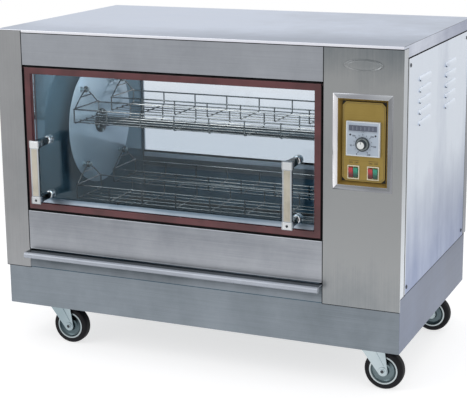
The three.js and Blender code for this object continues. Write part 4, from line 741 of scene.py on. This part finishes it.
# Door handles: a flat chrome bar with flared ends and an ivory strip, on two stubs bolted through the pane
def handle(side, x):
    front, back, low, high = -373.0, -364.0, 413.0, 580.0
    waist, wide, flare, slope = 12.0, 14.0, 20.0, 18.0
    strip_half, strip_inset = 8.2, 21
    cap_half, cap_height, cap_inset = 11.2, 17, 1.8
    stub_ends, pane_front = ((low + 3.0, low + 19.0), (high - 19.0, high - 1.0)), -310
    stub_washer = [(0, -311), (9.5, -311), (11.5, -306), (11.5, -296.3), (0, -296.3)]
    inner_washer = [(0, -296.4), (3.9, -296.4), (3.9, -290.7), (11, -290.7), (11, -288.6), (10.2, -287.7),
                    (0, -287.7)]
    bolt_end = [(0, -283.8), (3.6, -283.8), (3.2, -282.7), (0, -282.6)]
    nut_radius, nut_ends = 7.4, (-288.0, -283.4)

    half = [(wide, low), (wide, low + slope), (waist, low + flare), (waist, high - flare),
            (wide, high - slope), (wide, high)]
    outline = [(x + u, v) for u, v in half] + [(x - u, v) for u, v in reversed(half)]
    bar = slab(soft_corners(outline, 2.0, 3, True), "y", front + 0.9, back)
    piece(f"{side}_handle_bar", bar, "chrome", "door", [f"{side}_door_handle"], bevel=0.9, segments=3)
    outline = rounded_rect(x - strip_half, x + strip_half, low + strip_inset, high - strip_inset, 1.5)
    strip = slab(outline, "y", front, back - 5)
    piece(f"{side}_handle_strip", strip, "ivory_strip", "door", bevel=2.2, segments=4)
    # The ends are chrome painted bright, as a painted bright reflection
    caps = [slab(rounded_rect(x - cap_half, x + cap_half, z, z + cap_height, 2.5), "y", front + 0.25,
                 back - 4)
            for z in (low + cap_inset, high - cap_inset - cap_height)]
    piece(f"{side}_handle_ends", caps, "bright_chrome", "door", bevel=0.7, segments=3)
    screw = dome_screw(x, front + 0.3, low + 9.5, 3.4, 0.28, "y", -1)
    piece(f"{side}_handle_screw", screw, "dark_steel", "door")

    arm = [(x - 12.5, back - 1), (x + 12.5, back - 1), (x + 11.5, back + 8), (x + 7.5, back + 22),
           (x + 6.5, pane_front), (x - 6.5, pane_front), (x - 7.5, back + 22), (x - 11.5, back + 8)]
    arms, washers, nuts = [], [], []
    for z0, z1 in stub_ends:
        middle = (x, 0, (z0 + z1) / 2)
        arms.append(slab(soft_corners(arm, 3.0, 3, True), "z", z0, z1))
        washers.append(turned(soft_corners(stub_washer, 1.2, 3), middle, "y", 40))
        washers.append(turned(soft_corners(inner_washer, 0.4, 2), middle, "y", 40))
        nuts.append(hexagon(*middle, nut_radius, "y", *nut_ends))
        nuts.append(turned(bolt_end, middle, "y", 24))
    # Arms in chrome painted dark, as a painted dark reflection; washers and nuts in chrome painted bright, as
    # a painted bright reflection
    piece(f"{side}_handle_arms", arms, "chrome_painted_dark_reflection", "door", bevel=1.6, segments=3)
    piece(f"{side}_handle_washers", washers, "bright_chrome", "door")
    piece(f"{side}_handle_nuts", nuts, "bright_chrome", "door", bevel=0.5)


handle("left", -409.0)
handle("right", 287.0)

# Rotor: shaft, discs, hubs, basket pins and bearings, with the profiles counted from a disc's face
AXLE_Y, AXLE_Z = 13.0, 566.0
AXLE = (0, AXLE_Y, AXLE_Z)
SHAFT_RADIUS, PIVOT_REACH = 13, 105.005
PIVOTS = [(AXLE_Y + u * PIVOT_REACH, AXLE_Z + v * PIVOT_REACH)
          for u, v in ((1, 1), (-1, 1), (-1, -1), (1, -1))]
DISC = [(13.3, 0), (173.2, 0), (175, 0.7), (175, 1.4), (173.8, 2), (13.3, 2)]
HUB = [(13.3, 1.8), (24, 1.8), (24, 14), (13.3, 14)]
COLLAR = [(13.3, 0.2), (34, 0.2), (34, -3.5), (20, -5), (20, -11), (13.3, -11)]
PIN = [(0, 3.5), (6.5, 3.5), (6.5, -2), (4, -2), (4, -22), (7, -22), (7, -23.4), (5.8, -24), (0, -24)]
BOLT_CIRCLE, BOLT_RADIUS, BOLT_SEAT, BOLT_HEAD = 27.5, 4.2, -3.2, -6.6
low, high = span("rotor_shaft")
shaft = [(0, low[0]), (SHAFT_RADIUS, low[0]), (SHAFT_RADIUS, high[0]), (0, high[0])]
shaft = turned(soft_corners(shaft, 1.5, 3), AXLE, "x")
piece("rotor_shaft_bar", shaft, "shaft_steel", "rotor", ["rotor_shaft"])
for side, face, way in (("left", -426.0, -1), ("right", 304.0, 1)):
    plate = turned(lifted(DISC, face, way), AXLE, "x", 128)
    piece(f"{side}_disc_plate", plate, "disc_steel", "rotor", [f"{side}_rotor_disc"])
    hub = turned(soft_corners(lifted(HUB, face, way), 1.2, 3, True), AXLE, "x")
    collar = turned(soft_corners(lifted(COLLAR, face, way), 0.8, 2, True), AXLE, "x")
    piece(f"{side}_disc_hub", [hub, collar], "dark_steel", "rotor")
    a, b = sorted((face + way * BOLT_SEAT, face + way * BOLT_HEAD))
    bolts = [hexagon(0, y, z, BOLT_RADIUS, "x", a, b)
             for y, z in arc(AXLE_Y, AXLE_Z, BOLT_CIRCLE, [pi * (i + 0.5) / 3 for i in range(6)])]
    piece(f"{side}_hub_bolts", bolts, "zinc", "rotor", bevel=0.4)
    pins = [turned(lifted(PIN, face, way), (0, y, z), "x", 28) for y, z in PIVOTS]
    piece(f"{side}_basket_pins", pins, "zinc", "rotor")
for side in ("left", "right"):
    eased(f"{side}_bearing", "cast_grey", 1.0)

WIRE_SIDES = 8


def wire(radius, *path):
    return tube(path, radius, WIRE_SIDES)


def basket(number, y, z):
    """Round welded wires: floor, rims, cross wires with upturned ends, and a hanger and an eye at each end"""
    x0, x1, over, pitch = -411.0, 289.0, 3.5, 100
    floor, rim, half = z - 80.0, z - 45.0, 65.0
    stand_off, hook_rise, bend = 2.8, 1.5, 7.0
    shoulder, shoulder_z, neck, neck_z, brace_z = 30, z - 17, 9, z - 4, z - 17.5
    eye_profile = [(4.6, -2.6), (8.6, -2.6), (9, -1.6), (9, 1.6), (8.6, 2.6), (4.6, 2.6)]
    runs = [(across, floor, 1.6) for across in (-half, -half / 2, 0, half / 2, half)]
    runs += [(-half, rim, 2.0), (half, rim, 2.0)]
    wires = [wire(radius, (x0 - over, y + across, height), (x1 + over, y + across, height))
             for across, height, radius in runs]
    out, under, tip = half + stand_off, floor - stand_off, rim + hook_rise
    for x in [x0 + pitch * i for i in range(8)]:
        path = [(x, y - out, tip), (x, y - out, under), (x, y + out, under), (x, y + out, tip)]
        wires.append(wire(1.9, *soft_corners(path, bend, 4)))
    for x, inner in ((x0, x0 + stand_off), (x1, x1 - stand_off)):
        wires.append(wire(1.9, (inner, y - half, rim + stand_off), (inner, y + half, rim + stand_off)))
        for way in (-1, 1):
            bend_up = (x, y + way * shoulder, shoulder_z)
            path = [(x, y + way * half, rim), bend_up, (x, y + way * neck, neck_z)]
            wires.append(wire(1.8, *soft_corners(path, 8, 4)))
            wires.append(wire(1.6, bend_up, (x, y, brace_z)))
        wires.append(turned(lifted(eye_profile, x), (0, y, z), "x", 32))
    piece(f"basket_{number}_wires", wires, "wire_chrome", f"basket_{number}", [f"basket_{number}"])


for number, (y, z) in enumerate(PIVOTS, 1):
    basket(number, y, z)


def heater(name, z):
    """A bent tube of four passes"""
    first, pitch, end, radius, steps = -182.0, 130, 360.0, 4.5, 16
    bend = pitch / 2
    near, far = 322.0 - bend, -444.0 + bend
    passes = [first + pitch * i for i in range(4)]
    path = [(end, passes[0], z), (far, passes[0], z)]
    for i, (x, way) in enumerate(((far, -1), (near, 1), (far, -1))):
        middle = (passes[i] + passes[i + 1]) / 2
        for k in range(steps + 1):
            angle = pi * k / steps
            path.append((x + way * bend * sin(angle), middle - bend * cos(angle), z))
    path.append((end, passes[3], z))
    piece(f"{name}_tube", tube(path, radius, 16), "heater_oxide", "cabinet", [name])


heater("upper_heater", TOP - 98)
heater("lower_heater", 294.0)


# Drip tray: an open basin of sheet, and the ledge with its rounded nose
def on_nose(normal, centre):
    return centre.y < FRONT - 12


def basin(x0, x1, y0, y1, z0, z1, wall):
    points = []
    for inset, z in ((0, z0), (0, z1), (wall, z1), (wall, z0 + wall)):
        points += [[x0 + inset, y0 + inset, z], [x1 - inset, y0 + inset, z], [x1 - inset, y1 - inset, z],
                   [x0 + inset, y1 - inset, z]]
    return strung(points, 4)


def drip_tray():
    low, high = span("drip_tray")
    shell = basin(-462.0, 340.0, FRONT + 1.2, high[1], 221.0, 262.0, 2.0)
    piece("drip_tray_basin", shell, "floor_steel", "drip_tray", ["drip_tray"], bevel=0.5)

    nose, reach, wall, thick, foot, top = 8.0, 34.0, 2, 2.2, 219.8, high[2]
    centre = (FRONT - reach + nose, top - nose)
    angles = [pi / 2 + pi * 1.25 * k / 12 for k in range(13)]
    outline = [(FRONT + wall, top), (centre[0], top)]
    outline += arc(*centre, nose, angles[1:]) + arc(*centre, nose - thick, angles[::-1])
    outline += [(FRONT, top - thick), (FRONT, foot), (FRONT + wall, foot)]
    # The nose and the top in front of the fascia take the painted light finish, the front below it the
    # painted shadow
    piece("tray_ledge", slab(outline, "x", low[0], high[0]), "tray_steel", "drip_tray", sharp=50,
          faces=[("ledge_painted_light", on_nose)])
    plug, near, far = nose - 0.4, 0.2, 1.8
    plugs = [turned([(0, a), (plug, a), (plug, b), (0, b)], (0, *centre), "x", 32)
             for a, b in ((low[0] + near, low[0] + far), (high[0] - far, high[0] - near))]
    piece("ledge_end_caps", plugs, "ledge_painted_light", "drip_tray")


drip_tray()

# Control panel: rounded rim with painted highlight and painted shade on its sides, a sloped well painted gold
# as the plate's reflection, a black floor as painted shade round the plate, and the plate with its printed
# border
BEZEL = BEZEL_LEFT, BEZEL_RIGHT, BEZEL_FOOT, BEZEL_HEAD = 378.0, 526.0, 508.5, 741.5
BEZEL_FRONT = FRONT - 3.0
RIM_WIDTH, MITRE = 14, 4
RIM = [(0, 2.8), (0.3, 2.2), (2.4, 1.1), (5.0, 0.4), (7.6, 0.05), (9.0, 0), (10.6, 0.25), (11.9, 1.0),
       (13.0, 2.4), (13.2, 3.6), (9.6, 3.4), (9.6, 2.8)]
WELL = [(12.4, 2.2), (13.2, 2.2), (20, 15), (20, 17), (10.3, 17), (10.3, 3.4), (12.4, 3.4)]
WELL_INSET = 12
CLIP, BORDER_INSET = 9.0, 3


# Tests that give the rim's sides their painted highlight and painted shade finishes
def bezel_left_painted_highlight(normal, centre):
    return centre.x < BEZEL_LEFT + RIM_WIDTH and BEZEL_FOOT + MITRE < centre.z < BEZEL_HEAD - MITRE


def bezel_top_painted_shade(normal, centre):
    return centre.z > BEZEL_HEAD - RIM_WIDTH and centre.x > BEZEL_LEFT + MITRE


def bezel_low_painted_shade(normal, centre):
    return centre.x > BEZEL_LEFT + RIM_WIDTH and centre.z < BEZEL_HEAD - RIM_WIDTH


def clipped(x0, x1, z0, z1, clip):
    """A rectangle with its corners cut off"""
    return [(x0 + clip, z0), (x1 - clip, z0), (x1, z0 + clip), (x1, z1 - clip), (x1 - clip, z1),
            (x0 + clip, z1), (x0, z1 - clip), (x0, z0 + clip)]


rim = mitred(BEZEL, BEZEL_FRONT, RIM)
piece("bezel_frame", rim, "bezel_metal", replaces=["control_bezel"], sharp=40,
      faces=[("bezel_left_painted_highlight", bezel_left_painted_highlight), ("bezel_top_painted_shade", bezel_top_painted_shade), ("bezel_low_painted_shade", bezel_low_painted_shade)])
piece("bezel_well", mitred(BEZEL, BEZEL_FRONT, WELL), "well_painted_gold_reflection")
well_floor = box((BEZEL_LEFT + WELL_INSET, BEZEL_FRONT + 15.2, BEZEL_FOOT + WELL_INSET),
                 (BEZEL_RIGHT - WELL_INSET, BEZEL_FRONT + 16.9, BEZEL_HEAD - WELL_INSET))
# The floor is black as painted shade in the gap round the plate
piece("bezel_floor", well_floor, "black_plastic", bevel=0.2)
(x0, PLATE_FRONT, z0), (x1, plate_back, z1) = span("control_plate")
piece("gold_control_plate", slab(clipped(x0, x1, z0, z1, CLIP), "y", PLATE_FRONT, plate_back), "gold_plate",
      "cabinet", ["control_plate"], bevel=0.4)
border = clipped(x0 + BORDER_INSET, x1 - BORDER_INSET, z0 + BORDER_INSET, z1 - BORDER_INSET, CLIP - 1)
line = [(u, PLATE_FRONT - 0.02, v) for u, v in soft_corners(border, 1, 1, True)]
piece("plate_border_line", tube(line, 0.32, 6, True), "print_ink")

# Thermostat: rimmed face with a display window, two screws, a tick ring and the knob
DIAL_X, DIAL_Z = COLUMN_MID, 622.0
DIAL_FACE = span("thermostat")[0][1]
TURN_START, TURN = 240, 300


def on_dial(profile):
    """A profile turned round the knob's axis, with its heights counted outwards from the thermostat's face"""
    return turned(lifted(profile, DIAL_FACE, -1), (DIAL_X, 0, DIAL_Z), "y", 48)


def thermostat():
    x0, x1, z0, z1, face = 410.5, 493.5, 592.0, 675.0, DIAL_FACE
    rim = soft_corners([(0, 7.9), (0, 0.5), (0.5, 0), (2.6, 0), (3.2, 0.7), (3.2, 7.9)], 0.2, 1, True)
    piece("thermostat_rim", mitred((x0, x1, z0, z1), face, rim), "thermostat_rim", "cabinet", ["thermostat"])
    piece("thermostat_front", box((x0 + 3.1, face + 0.7, z0 + 3.1), (x1 - 3.1, face + 7.9, z1 - 3.1)),
          "thermostat_face", bevel=0.2)
    case = box((x0 + 3.5, face + 8.0, z0 + 3.5), (x1 - 3.5, span("thermostat")[1][1], z1 - 3.5))
    piece("thermostat_case", case, "black_plastic", bevel=0.8)

    left, right, foot, head = 417.5, 486.5, 652.5, 666.0
    window = box((left, face + 0.45, foot), (right, face + 1.6, head))
    piece("display_window", window, "display_glass", bevel=0.3)
    outer = (left - 0.9, right + 0.9, foot - 1.0, head + 0.9)
    lines = [mitred(outer, face + 0.2, [(0, 1), (0, 0), (0.9, 0), (0.9, 1)])]
    for k in range(1, 7):
        x = left + (right - left) * k / 7
        lines.append(box((x - 0.35, face + 0.25, foot + 2.6), (x + 0.35, face + 0.8, head - 2.6)))
    lines.append(box((left, face + 0.2, foot - 3.0), (right, face + 0.9, foot - 1.9)))
    piece("display_lines", lines, "display_bars")
    screws = [dome_screw(x, face + 0.75, z1 - 32, 2.3, 0.6, "y", -1) for x in (x0 + 10.5, x1 - 10.5)]
    piece("thermostat_screws", screws, "dark_steel")

    ticks = []
    for k in range(13):
        angle = radians(TURN_START - TURN * k / 12)
        near, far, wide = (20.6, 23.4, 0.45) if k % 2 else (20.6, 24.8, 0.65)
        u, v = cos(angle), sin(angle)
        corners = ((near, -wide), (near, wide), (far, wide), (far, -wide))
        quad = [(DIAL_X + reach * u + aside * v, DIAL_Z + reach * v - aside * u) for reach, aside in corners]
        ticks.append(slab(quad, "y", face + 0.5, face + 1.0))
    piece("dial_ticks", ticks, "print_ink")


KNOB = "thermostat_knob"


def knob():
    ribs, crest, valley = 40, 17.4, 16.7
    skirt = []
    for i in range(ribs * 2):
        skirt += arc(DIAL_X, DIAL_Z, crest if i % 2 else valley, [pi * i / ribs])
    skirt = slab(skirt, "y", DIAL_FACE - 5.2, DIAL_FACE - 0.3)
    piece("knob_skirt", skirt, "slate_plastic", KNOB, [KNOB], bevel=0.5)
    grip = lifted([(0, 4.9), (11.6, 4.9), (10.6, 8), (10.2, 16.2), (9.4, 17.2), (0, 17.2)], DIAL_FACE, -1)
    grip = turned(soft_corners(grip, 0.5, 2), (DIAL_X, 0, DIAL_Z), "y", 48)
    piece("knob_grip", grip, "slate_plastic", KNOB)
    ring = on_dial([(0, 5.0), (14.6, 5.0), (14.6, 5.45), (11.2, 5.5), (0, 5.5)])
    piece("knob_face", ring, "knob_grey", KNOB)
    cap = on_dial([(0, 16.8), (8.9, 16.8), (8.7, 17.27), (0, 17.29)])
    piece("knob_cap", cap, "knob_cap", KNOB)
    marks = [box((DIAL_X - half, DIAL_FACE - out, DIAL_Z + near),
                 (DIAL_X + half, DIAL_FACE - seat, DIAL_Z + far))
             for half, out, seat, near, far in ((0.7, 5.5, 5.0, 11.6, 16.4), (0.6, 17.3, 17.0, 2.5, 8.2))]
    piece("knob_pointer", marks, "print_ink", KNOB)


thermostat()
knob()

# Printed marks: plain numbers round the knob, and ON and OFF over the switches
LETTER_SIZE, LETTER_DEPTH, LETTER_SWELL, LETTER_WELD = 1.35, 0.12, 0.07, 1e-7
SWITCH_X = {"left": 427.75, "right": 476.25}


def printed(name, words, finish, front):
    """Flat letters turned into meshes: each word is (text, x, z, height)"""
    bm = bmesh.new()
    for word, x, z, height in words:
        curve = bpy.data.curves.new(name, "FONT")
        curve.body, curve.align_x, curve.align_y = word, "CENTER", "CENTER"
        curve.size = height * LETTER_SIZE * MM
        curve.extrude, curve.offset = LETTER_DEPTH * MM, LETTER_SWELL * MM
        letters = bpy.data.objects.new(name, curve)
        mesh = bpy.data.meshes.new_from_object(letters)
        mesh.transform(Matrix.Translation((x * MM, front * MM, z * MM)) @ Matrix.Rotation(pi / 2, 4, "X"))
        bm.from_mesh(mesh)
        bpy.data.objects.remove(letters)
        bpy.data.meshes.remove(mesh)
    bmesh.ops.remove_doubles(bm, verts=bm.verts, dist=LETTER_WELD)
    finished(name, bm, finish)


numbers = []
for k in range(7):
    angle = radians(TURN_START - TURN * k / 6)
    numbers.append((str(TURN * k // 6), DIAL_X + 29.5 * cos(angle), DIAL_Z + 29.0 * sin(angle), 4.2))
printed("dial_numbers", numbers, "print_ink", DIAL_FACE + 0.62)
marks = [(word, x + aside, 574.5, 4.0) for x in SWITCH_X.values() for word, aside in (("ON", -7), ("OFF", 7))]
printed("switch_marks", marks, "plate_ink", PLATE_FRONT - 0.05)
underlines = [box((x - 12, PLATE_FRONT - 0.12, 579.5), (x + 12, PLATE_FRONT + 0.2, 580.3))
              for x in SWITCH_X.values()]
piece("switch_mark_lines", underlines, "plate_ink")

# Double rocker switches
SWITCH_RIM = [(0, 2.9), (0, 0.7), (0.7, 0), (1.9, 0), (2.4, 0.6), (2.4, 11), (0.8, 11), (0.8, 2.9)]
for side, x in SWITCH_X.items():
    (x0, face, z0), (x1, back, z1) = span(f"{side}_switch_housing")
    case = mitred((x0, x1, z0, z1), face, SWITCH_RIM)
    pan = box((x0 + 0.9, face + 11, z0 + 0.9), (x1 - 0.9, back, z1 - 0.9))
    divider = box((x - 0.35, face + 1.2, z0 + 2.3), (x + 0.35, face + 10.9, z1 - 2.3))
    piece(f"{side}_switch_frame", [case, pan, divider], "cream_plastic", "cabinet",
          [f"{side}_switch_housing"], bevel=0.15)
    for colour in ("red", "green"):
        eased(f"{side}_{colour}_rocker", f"{colour}_rocker", 0.5)

# Casters: profiles counted from the plate's underside, the fork's top or the wheel's middle
RACE = [(0, -7), (16, -7), (19.4, -5.2), (20, -3.4), (19.4, -1.6), (18, 0.5), (0, 0.5)]
FORK_HEAD = [(0, 0), (24.2, 0), (25, -0.8), (25, -3.6), (24, -4.5), (0, -4.5)]
BOSS = [(0, 20.2), (11.5, 20.2), (10.6, 22.4), (0, 22.4)]
AXLE_TIP = [(0, 24), (4.6, 24), (4.2, 24.5), (0, 24.5)]
AXLE_BAR = [(0, -24), (4.9, -24), (4.9, 24), (0, 24)]
TYRE = [(36.0, -14), (45, -14), (48.2, -12), (49.7, -8.5), (50, -4), (50, 4), (49.7, 8.5), (48.2, 12),
        (45, 14), (36.0, 14)]
BAND = [(32.6, -14.6), (34.6, -14.9), (36.2, -14.3), (36.2, 14.3), (34.6, 14.9), (32.6, 14.6)]
DISH = [(5.2, 17), (11.4, 17), (12, 16.2), (12.6, 9), (16, 6.2), (26, 6.2), (30, 9), (32.8, 12.8)]
PLATE_THICK, FORK_GAP = 2.7, 7.3
TRAIL, AXLE_HEIGHT, CHEEK_ROUND = 30, 50.0, 13
CHEEK, RIB, NUT = (18, 20.5), (20.3, 21.6), (21.8, 24.2)


def caster(name, x, y):
    def on_axle(profile, way=1, steps=96):
        return turned(lifted(profile, y, way), (x + TRAIL, 0, AXLE_HEIGHT), "y", steps)

    fork, wheel = f"{name}_fork", f"{name}_wheel"
    plate_low, plate_high = span(f"{name}_plate")
    under = plate_high[2] - PLATE_THICK
    outline = rounded_rect(plate_low[0], plate_high[0], plate_low[1], plate_high[1], 6)
    piece(f"{name}_top_plate", slab(outline, "z", under, plate_high[2]), "zinc", "cabinet", [f"{name}_plate"],
          bevel=0.5)
    race = turned(lifted(RACE, under), (x, y, 0), "z", 48)
    piece(f"{name}_race", race, "zinc")
    bolts = [hexagon(x + i * 34, y + j * 27, 0, 6.2, "z", under - 4, under) for i in (-1, 1) for j in (-1, 1)]
    piece(f"{name}_bolts", bolts, "zinc", bevel=0.5)

    wheel_x, top = x + TRAIL, under - FORK_GAP
    head = turned(lifted(FORK_HEAD, top), (x, y, 0), "z", 56)
    outline = [(x - 27, top - 2.2), (x - 26, top - 16)]
    outline += arc(wheel_x, AXLE_HEIGHT, CHEEK_ROUND, [radians(205 + 14.5 * k) for k in range(13)])
    outline = soft_corners(outline + [(x + 36, top - 22), (x + 33, top - 2.2)], 3.0, 2, True)
    cheeks = [slab(outline, "y", a, b) for a, b in mirrored(*CHEEK, y)]
    bridge = slab(rounded_rect(x - 25, x + 25, y - CHEEK[1], y + CHEEK[1], 5), "z", top - 4.5, top - 0.2)
    outline = [(x - 4, top - 6), (wheel_x - 3, AXLE_HEIGHT + 14), (wheel_x + 3, AXLE_HEIGHT + 14),
               (x + 6, top - 6)]
    ribs = [slab(outline, "y", a, b) for a, b in mirrored(*RIB, y)]
    bosses = [turned(soft_corners(lifted(BOSS, y, way), 0.8, 3), (wheel_x, 0, AXLE_HEIGHT), "y", 36)
              for way in (-1, 1)]
    forms = [head, *cheeks, bridge, *ribs, *bosses]
    piece(f"{name}_fork_sheet", forms, "zinc", fork, [fork], bevel=0.7)
    nuts = [hexagon(wheel_x, y, AXLE_HEIGHT, 7.2, "y", a, b) for a, b in mirrored(*NUT, y)]
    piece(f"{name}_axle_nuts", nuts, "zinc", fork, bevel=0.5)
    bar = [on_axle(AXLE_TIP, -1, 20), on_axle(AXLE_TIP, 1, 20), on_axle(AXLE_BAR, 1, 24)]
    piece(f"{name}_axle_bar", bar, "dark_steel", fork, bevel=0.3)

    piece(f"{name}_tyre", on_axle(soft_corners(TYRE, 1.2, 2, True)), "tyre_rubber", wheel, [wheel])
    piece(f"{name}_tyre_band", on_axle(BAND), "tyre_band", wheel)
    hub = soft_corners(DISH + [(r, -h) for r, h in reversed(DISH)], 0.8, 2, True)
    piece(f"{name}_hub", on_axle(hub, 1, 72), "hub_zinc", wheel)


for row, y in (("front", -253.0), ("rear", 203.0)):
    for column, x in (("left", -415.0), ("right", 470.0)):
        caster(f"{row}_{column}_caster", x, y)

# Cable gland, its profile counted from the rear panel's face
GLAND = [(4, -8.3), (13.4, -8.3), (13.4, -2.3), (8, -2.3), (8, 0.3), (12.9, 0.3), (12.9, 1.2),
         (10.4, 6.5), (10.4, 16), (8.6, 19.4), (5.2, 19.9), (4, 19.2)]
low, high = span("cable_gland")
middle = ((low[0] + high[0]) / 2, 0, (low[2] + high[2]) / 2)
gland = turned(soft_corners(lifted(GLAND, REAR), 0.5, 2, True), middle, "y", 48)
piece("gland_body", gland, "black_plastic", "cabinet", ["cable_gland"])
piece("gland_nut", hexagon(*middle, 13.9, "y", REAR + 0.9, REAR + 6.3), "black_plastic", bevel=0.8)

# Finishes for the CAD nodes that stay as they are
PLAIN = {"gear_motor": "cast_grey", "drive_chain": "dark_steel", "rotor_sprocket": "dark_steel",
         "motor_pinion": "dark_steel", "left_side_panel": "side_steel", "right_side_panel": "side_steel",
         "door_glass": "door_pane", "rear_glass": "rear_pane"}
for node, finish in PLAIN.items():
    NODES[node].data.materials.clear()
    NODES[node].data.materials.append(FINISHES[finish])

# Floor, world and lamps, in metres and watts
FLOOR_HALF, FLOOR_GLOW, FLOOR_CLEARS = 2.2, 0.68, (0.9, 2.1)
GREY, MATT_WHITE = (0.5, 0.5, 0.51, 1), (0.78, 0.78, 0.79, 1)
ROOM_LIGHT = 0.78
MIDDLE = (0, 0, 0.45)
LAMPS = [
    ("key", (-2.6, -3.0, 3.4), MIDDLE, 3.0, 3.0, 34),
    ("fill", (3.2, -2.4, 2.2), MIDDLE, 2.6, 2.6, 12),
    ("top", (0.2, 0.4, 3.8), MIDDLE, 3.0, 3.0, 16),
    ("chamber", (-0.06, -0.22, 0.74), (-0.06, 0.3, 0.3), 0.68, 0.1, 1.4),
]


def studio_floor():
    """White where the camera sees it, with a soft shadow, and clear further out"""
    f = Finish("studio_floor")
    seen, glossy, through = (f.add("ShaderNodeLightPath", output=ray) for ray in RAYS)
    glow = f.add("ShaderNodeEmission", Color=WHITE, Strength=FLOOR_GLOW)
    shaded = f.add("ShaderNodeBsdfDiffuse", Color=GREY)
    matt = f.add("ShaderNodeBsdfDiffuse", Color=MATT_WHITE)
    bright = f.add("ShaderNodeAddShader", _0=glow, _1=shaded)
    ground = f.add("ShaderNodeMixShader", _0=seen + glossy + through, _1=matt, _2=bright)
    away = f.add("ShaderNodeVectorMath", {"operation": "LENGTH"}, VECTOR_LENGTH, _0=f.place())
    open_air = f.add("ShaderNodeBsdfTransparent", Color=WHITE)
    f.done(f.add("ShaderNodeMixShader", _0=away.between(*FLOOR_CLEARS), _1=ground, _2=open_air))
    mesh = bpy.data.meshes.new("studio_floor")
    corners = [(u * FLOOR_HALF, v * FLOOR_HALF, 0) for u, v in ((-1, -1), (1, -1), (1, 1), (-1, 1))]
    mesh.from_pydata(corners, [], [(0, 1, 2, 3)])
    mesh.materials.append(f.material)
    floor = put("studio_floor", mesh)


def studio_world():
    """An even white room, with slow tones in what the metal mirrors"""
    world = bpy.data.worlds.new("studio")
    bpy.context.scene.world = world
    world.use_nodes = True
    tree = world.node_tree
    tree.nodes.clear()
    seen, glossy, through = (grow(tree, "ShaderNodeLightPath", output=ray) for ray in RAYS)
    way = grow(tree, "ShaderNodeTexCoord")
    up = grow(tree, "ShaderNodeSeparateXYZ", output="XYZ".index("Z"), Vector=way)
    across = grow(tree, "ShaderNodeSeparateXYZ", output="XYZ".index("X"), Vector=way)
    clouds = grow(tree, "ShaderNodeTexNoise", Vector=way, Scale=1.7, Detail=2.0)
    tones = 0.16 * up.between(-0.5, 0.6) - 0.1 * across.between(-0.2, 0.9) + 0.5 * (clouds - 0.5)
    strength = ROOM_LIGHT + (1 - ROOM_LIGHT) * (seen + through) + tones * glossy
    back = grow(tree, "ShaderNodeBackground", Color=WHITE, Strength=strength)
    out = tree.nodes.new("ShaderNodeOutputWorld")
    feed(tree, out.inputs["Surface"], back)


def hang_lamps():
    for name, where, aim, width, depth, power in LAMPS:
        data = bpy.data.lights.new(name, "AREA")
        data.shape = "RECTANGLE"
        data.size, data.size_y = width, depth
        data.energy = power
        lamp = put(name, data)
        lamp.visible_camera = False
        lamp.location = where
        lamp.rotation_euler = (Vector(aim) - Vector(where)).to_track_quat("-Z", "Y").to_euler()


studio_floor()
studio_world()
hang_lamps()
bpy.context.scene.view_settings.view_transform = "Standard"
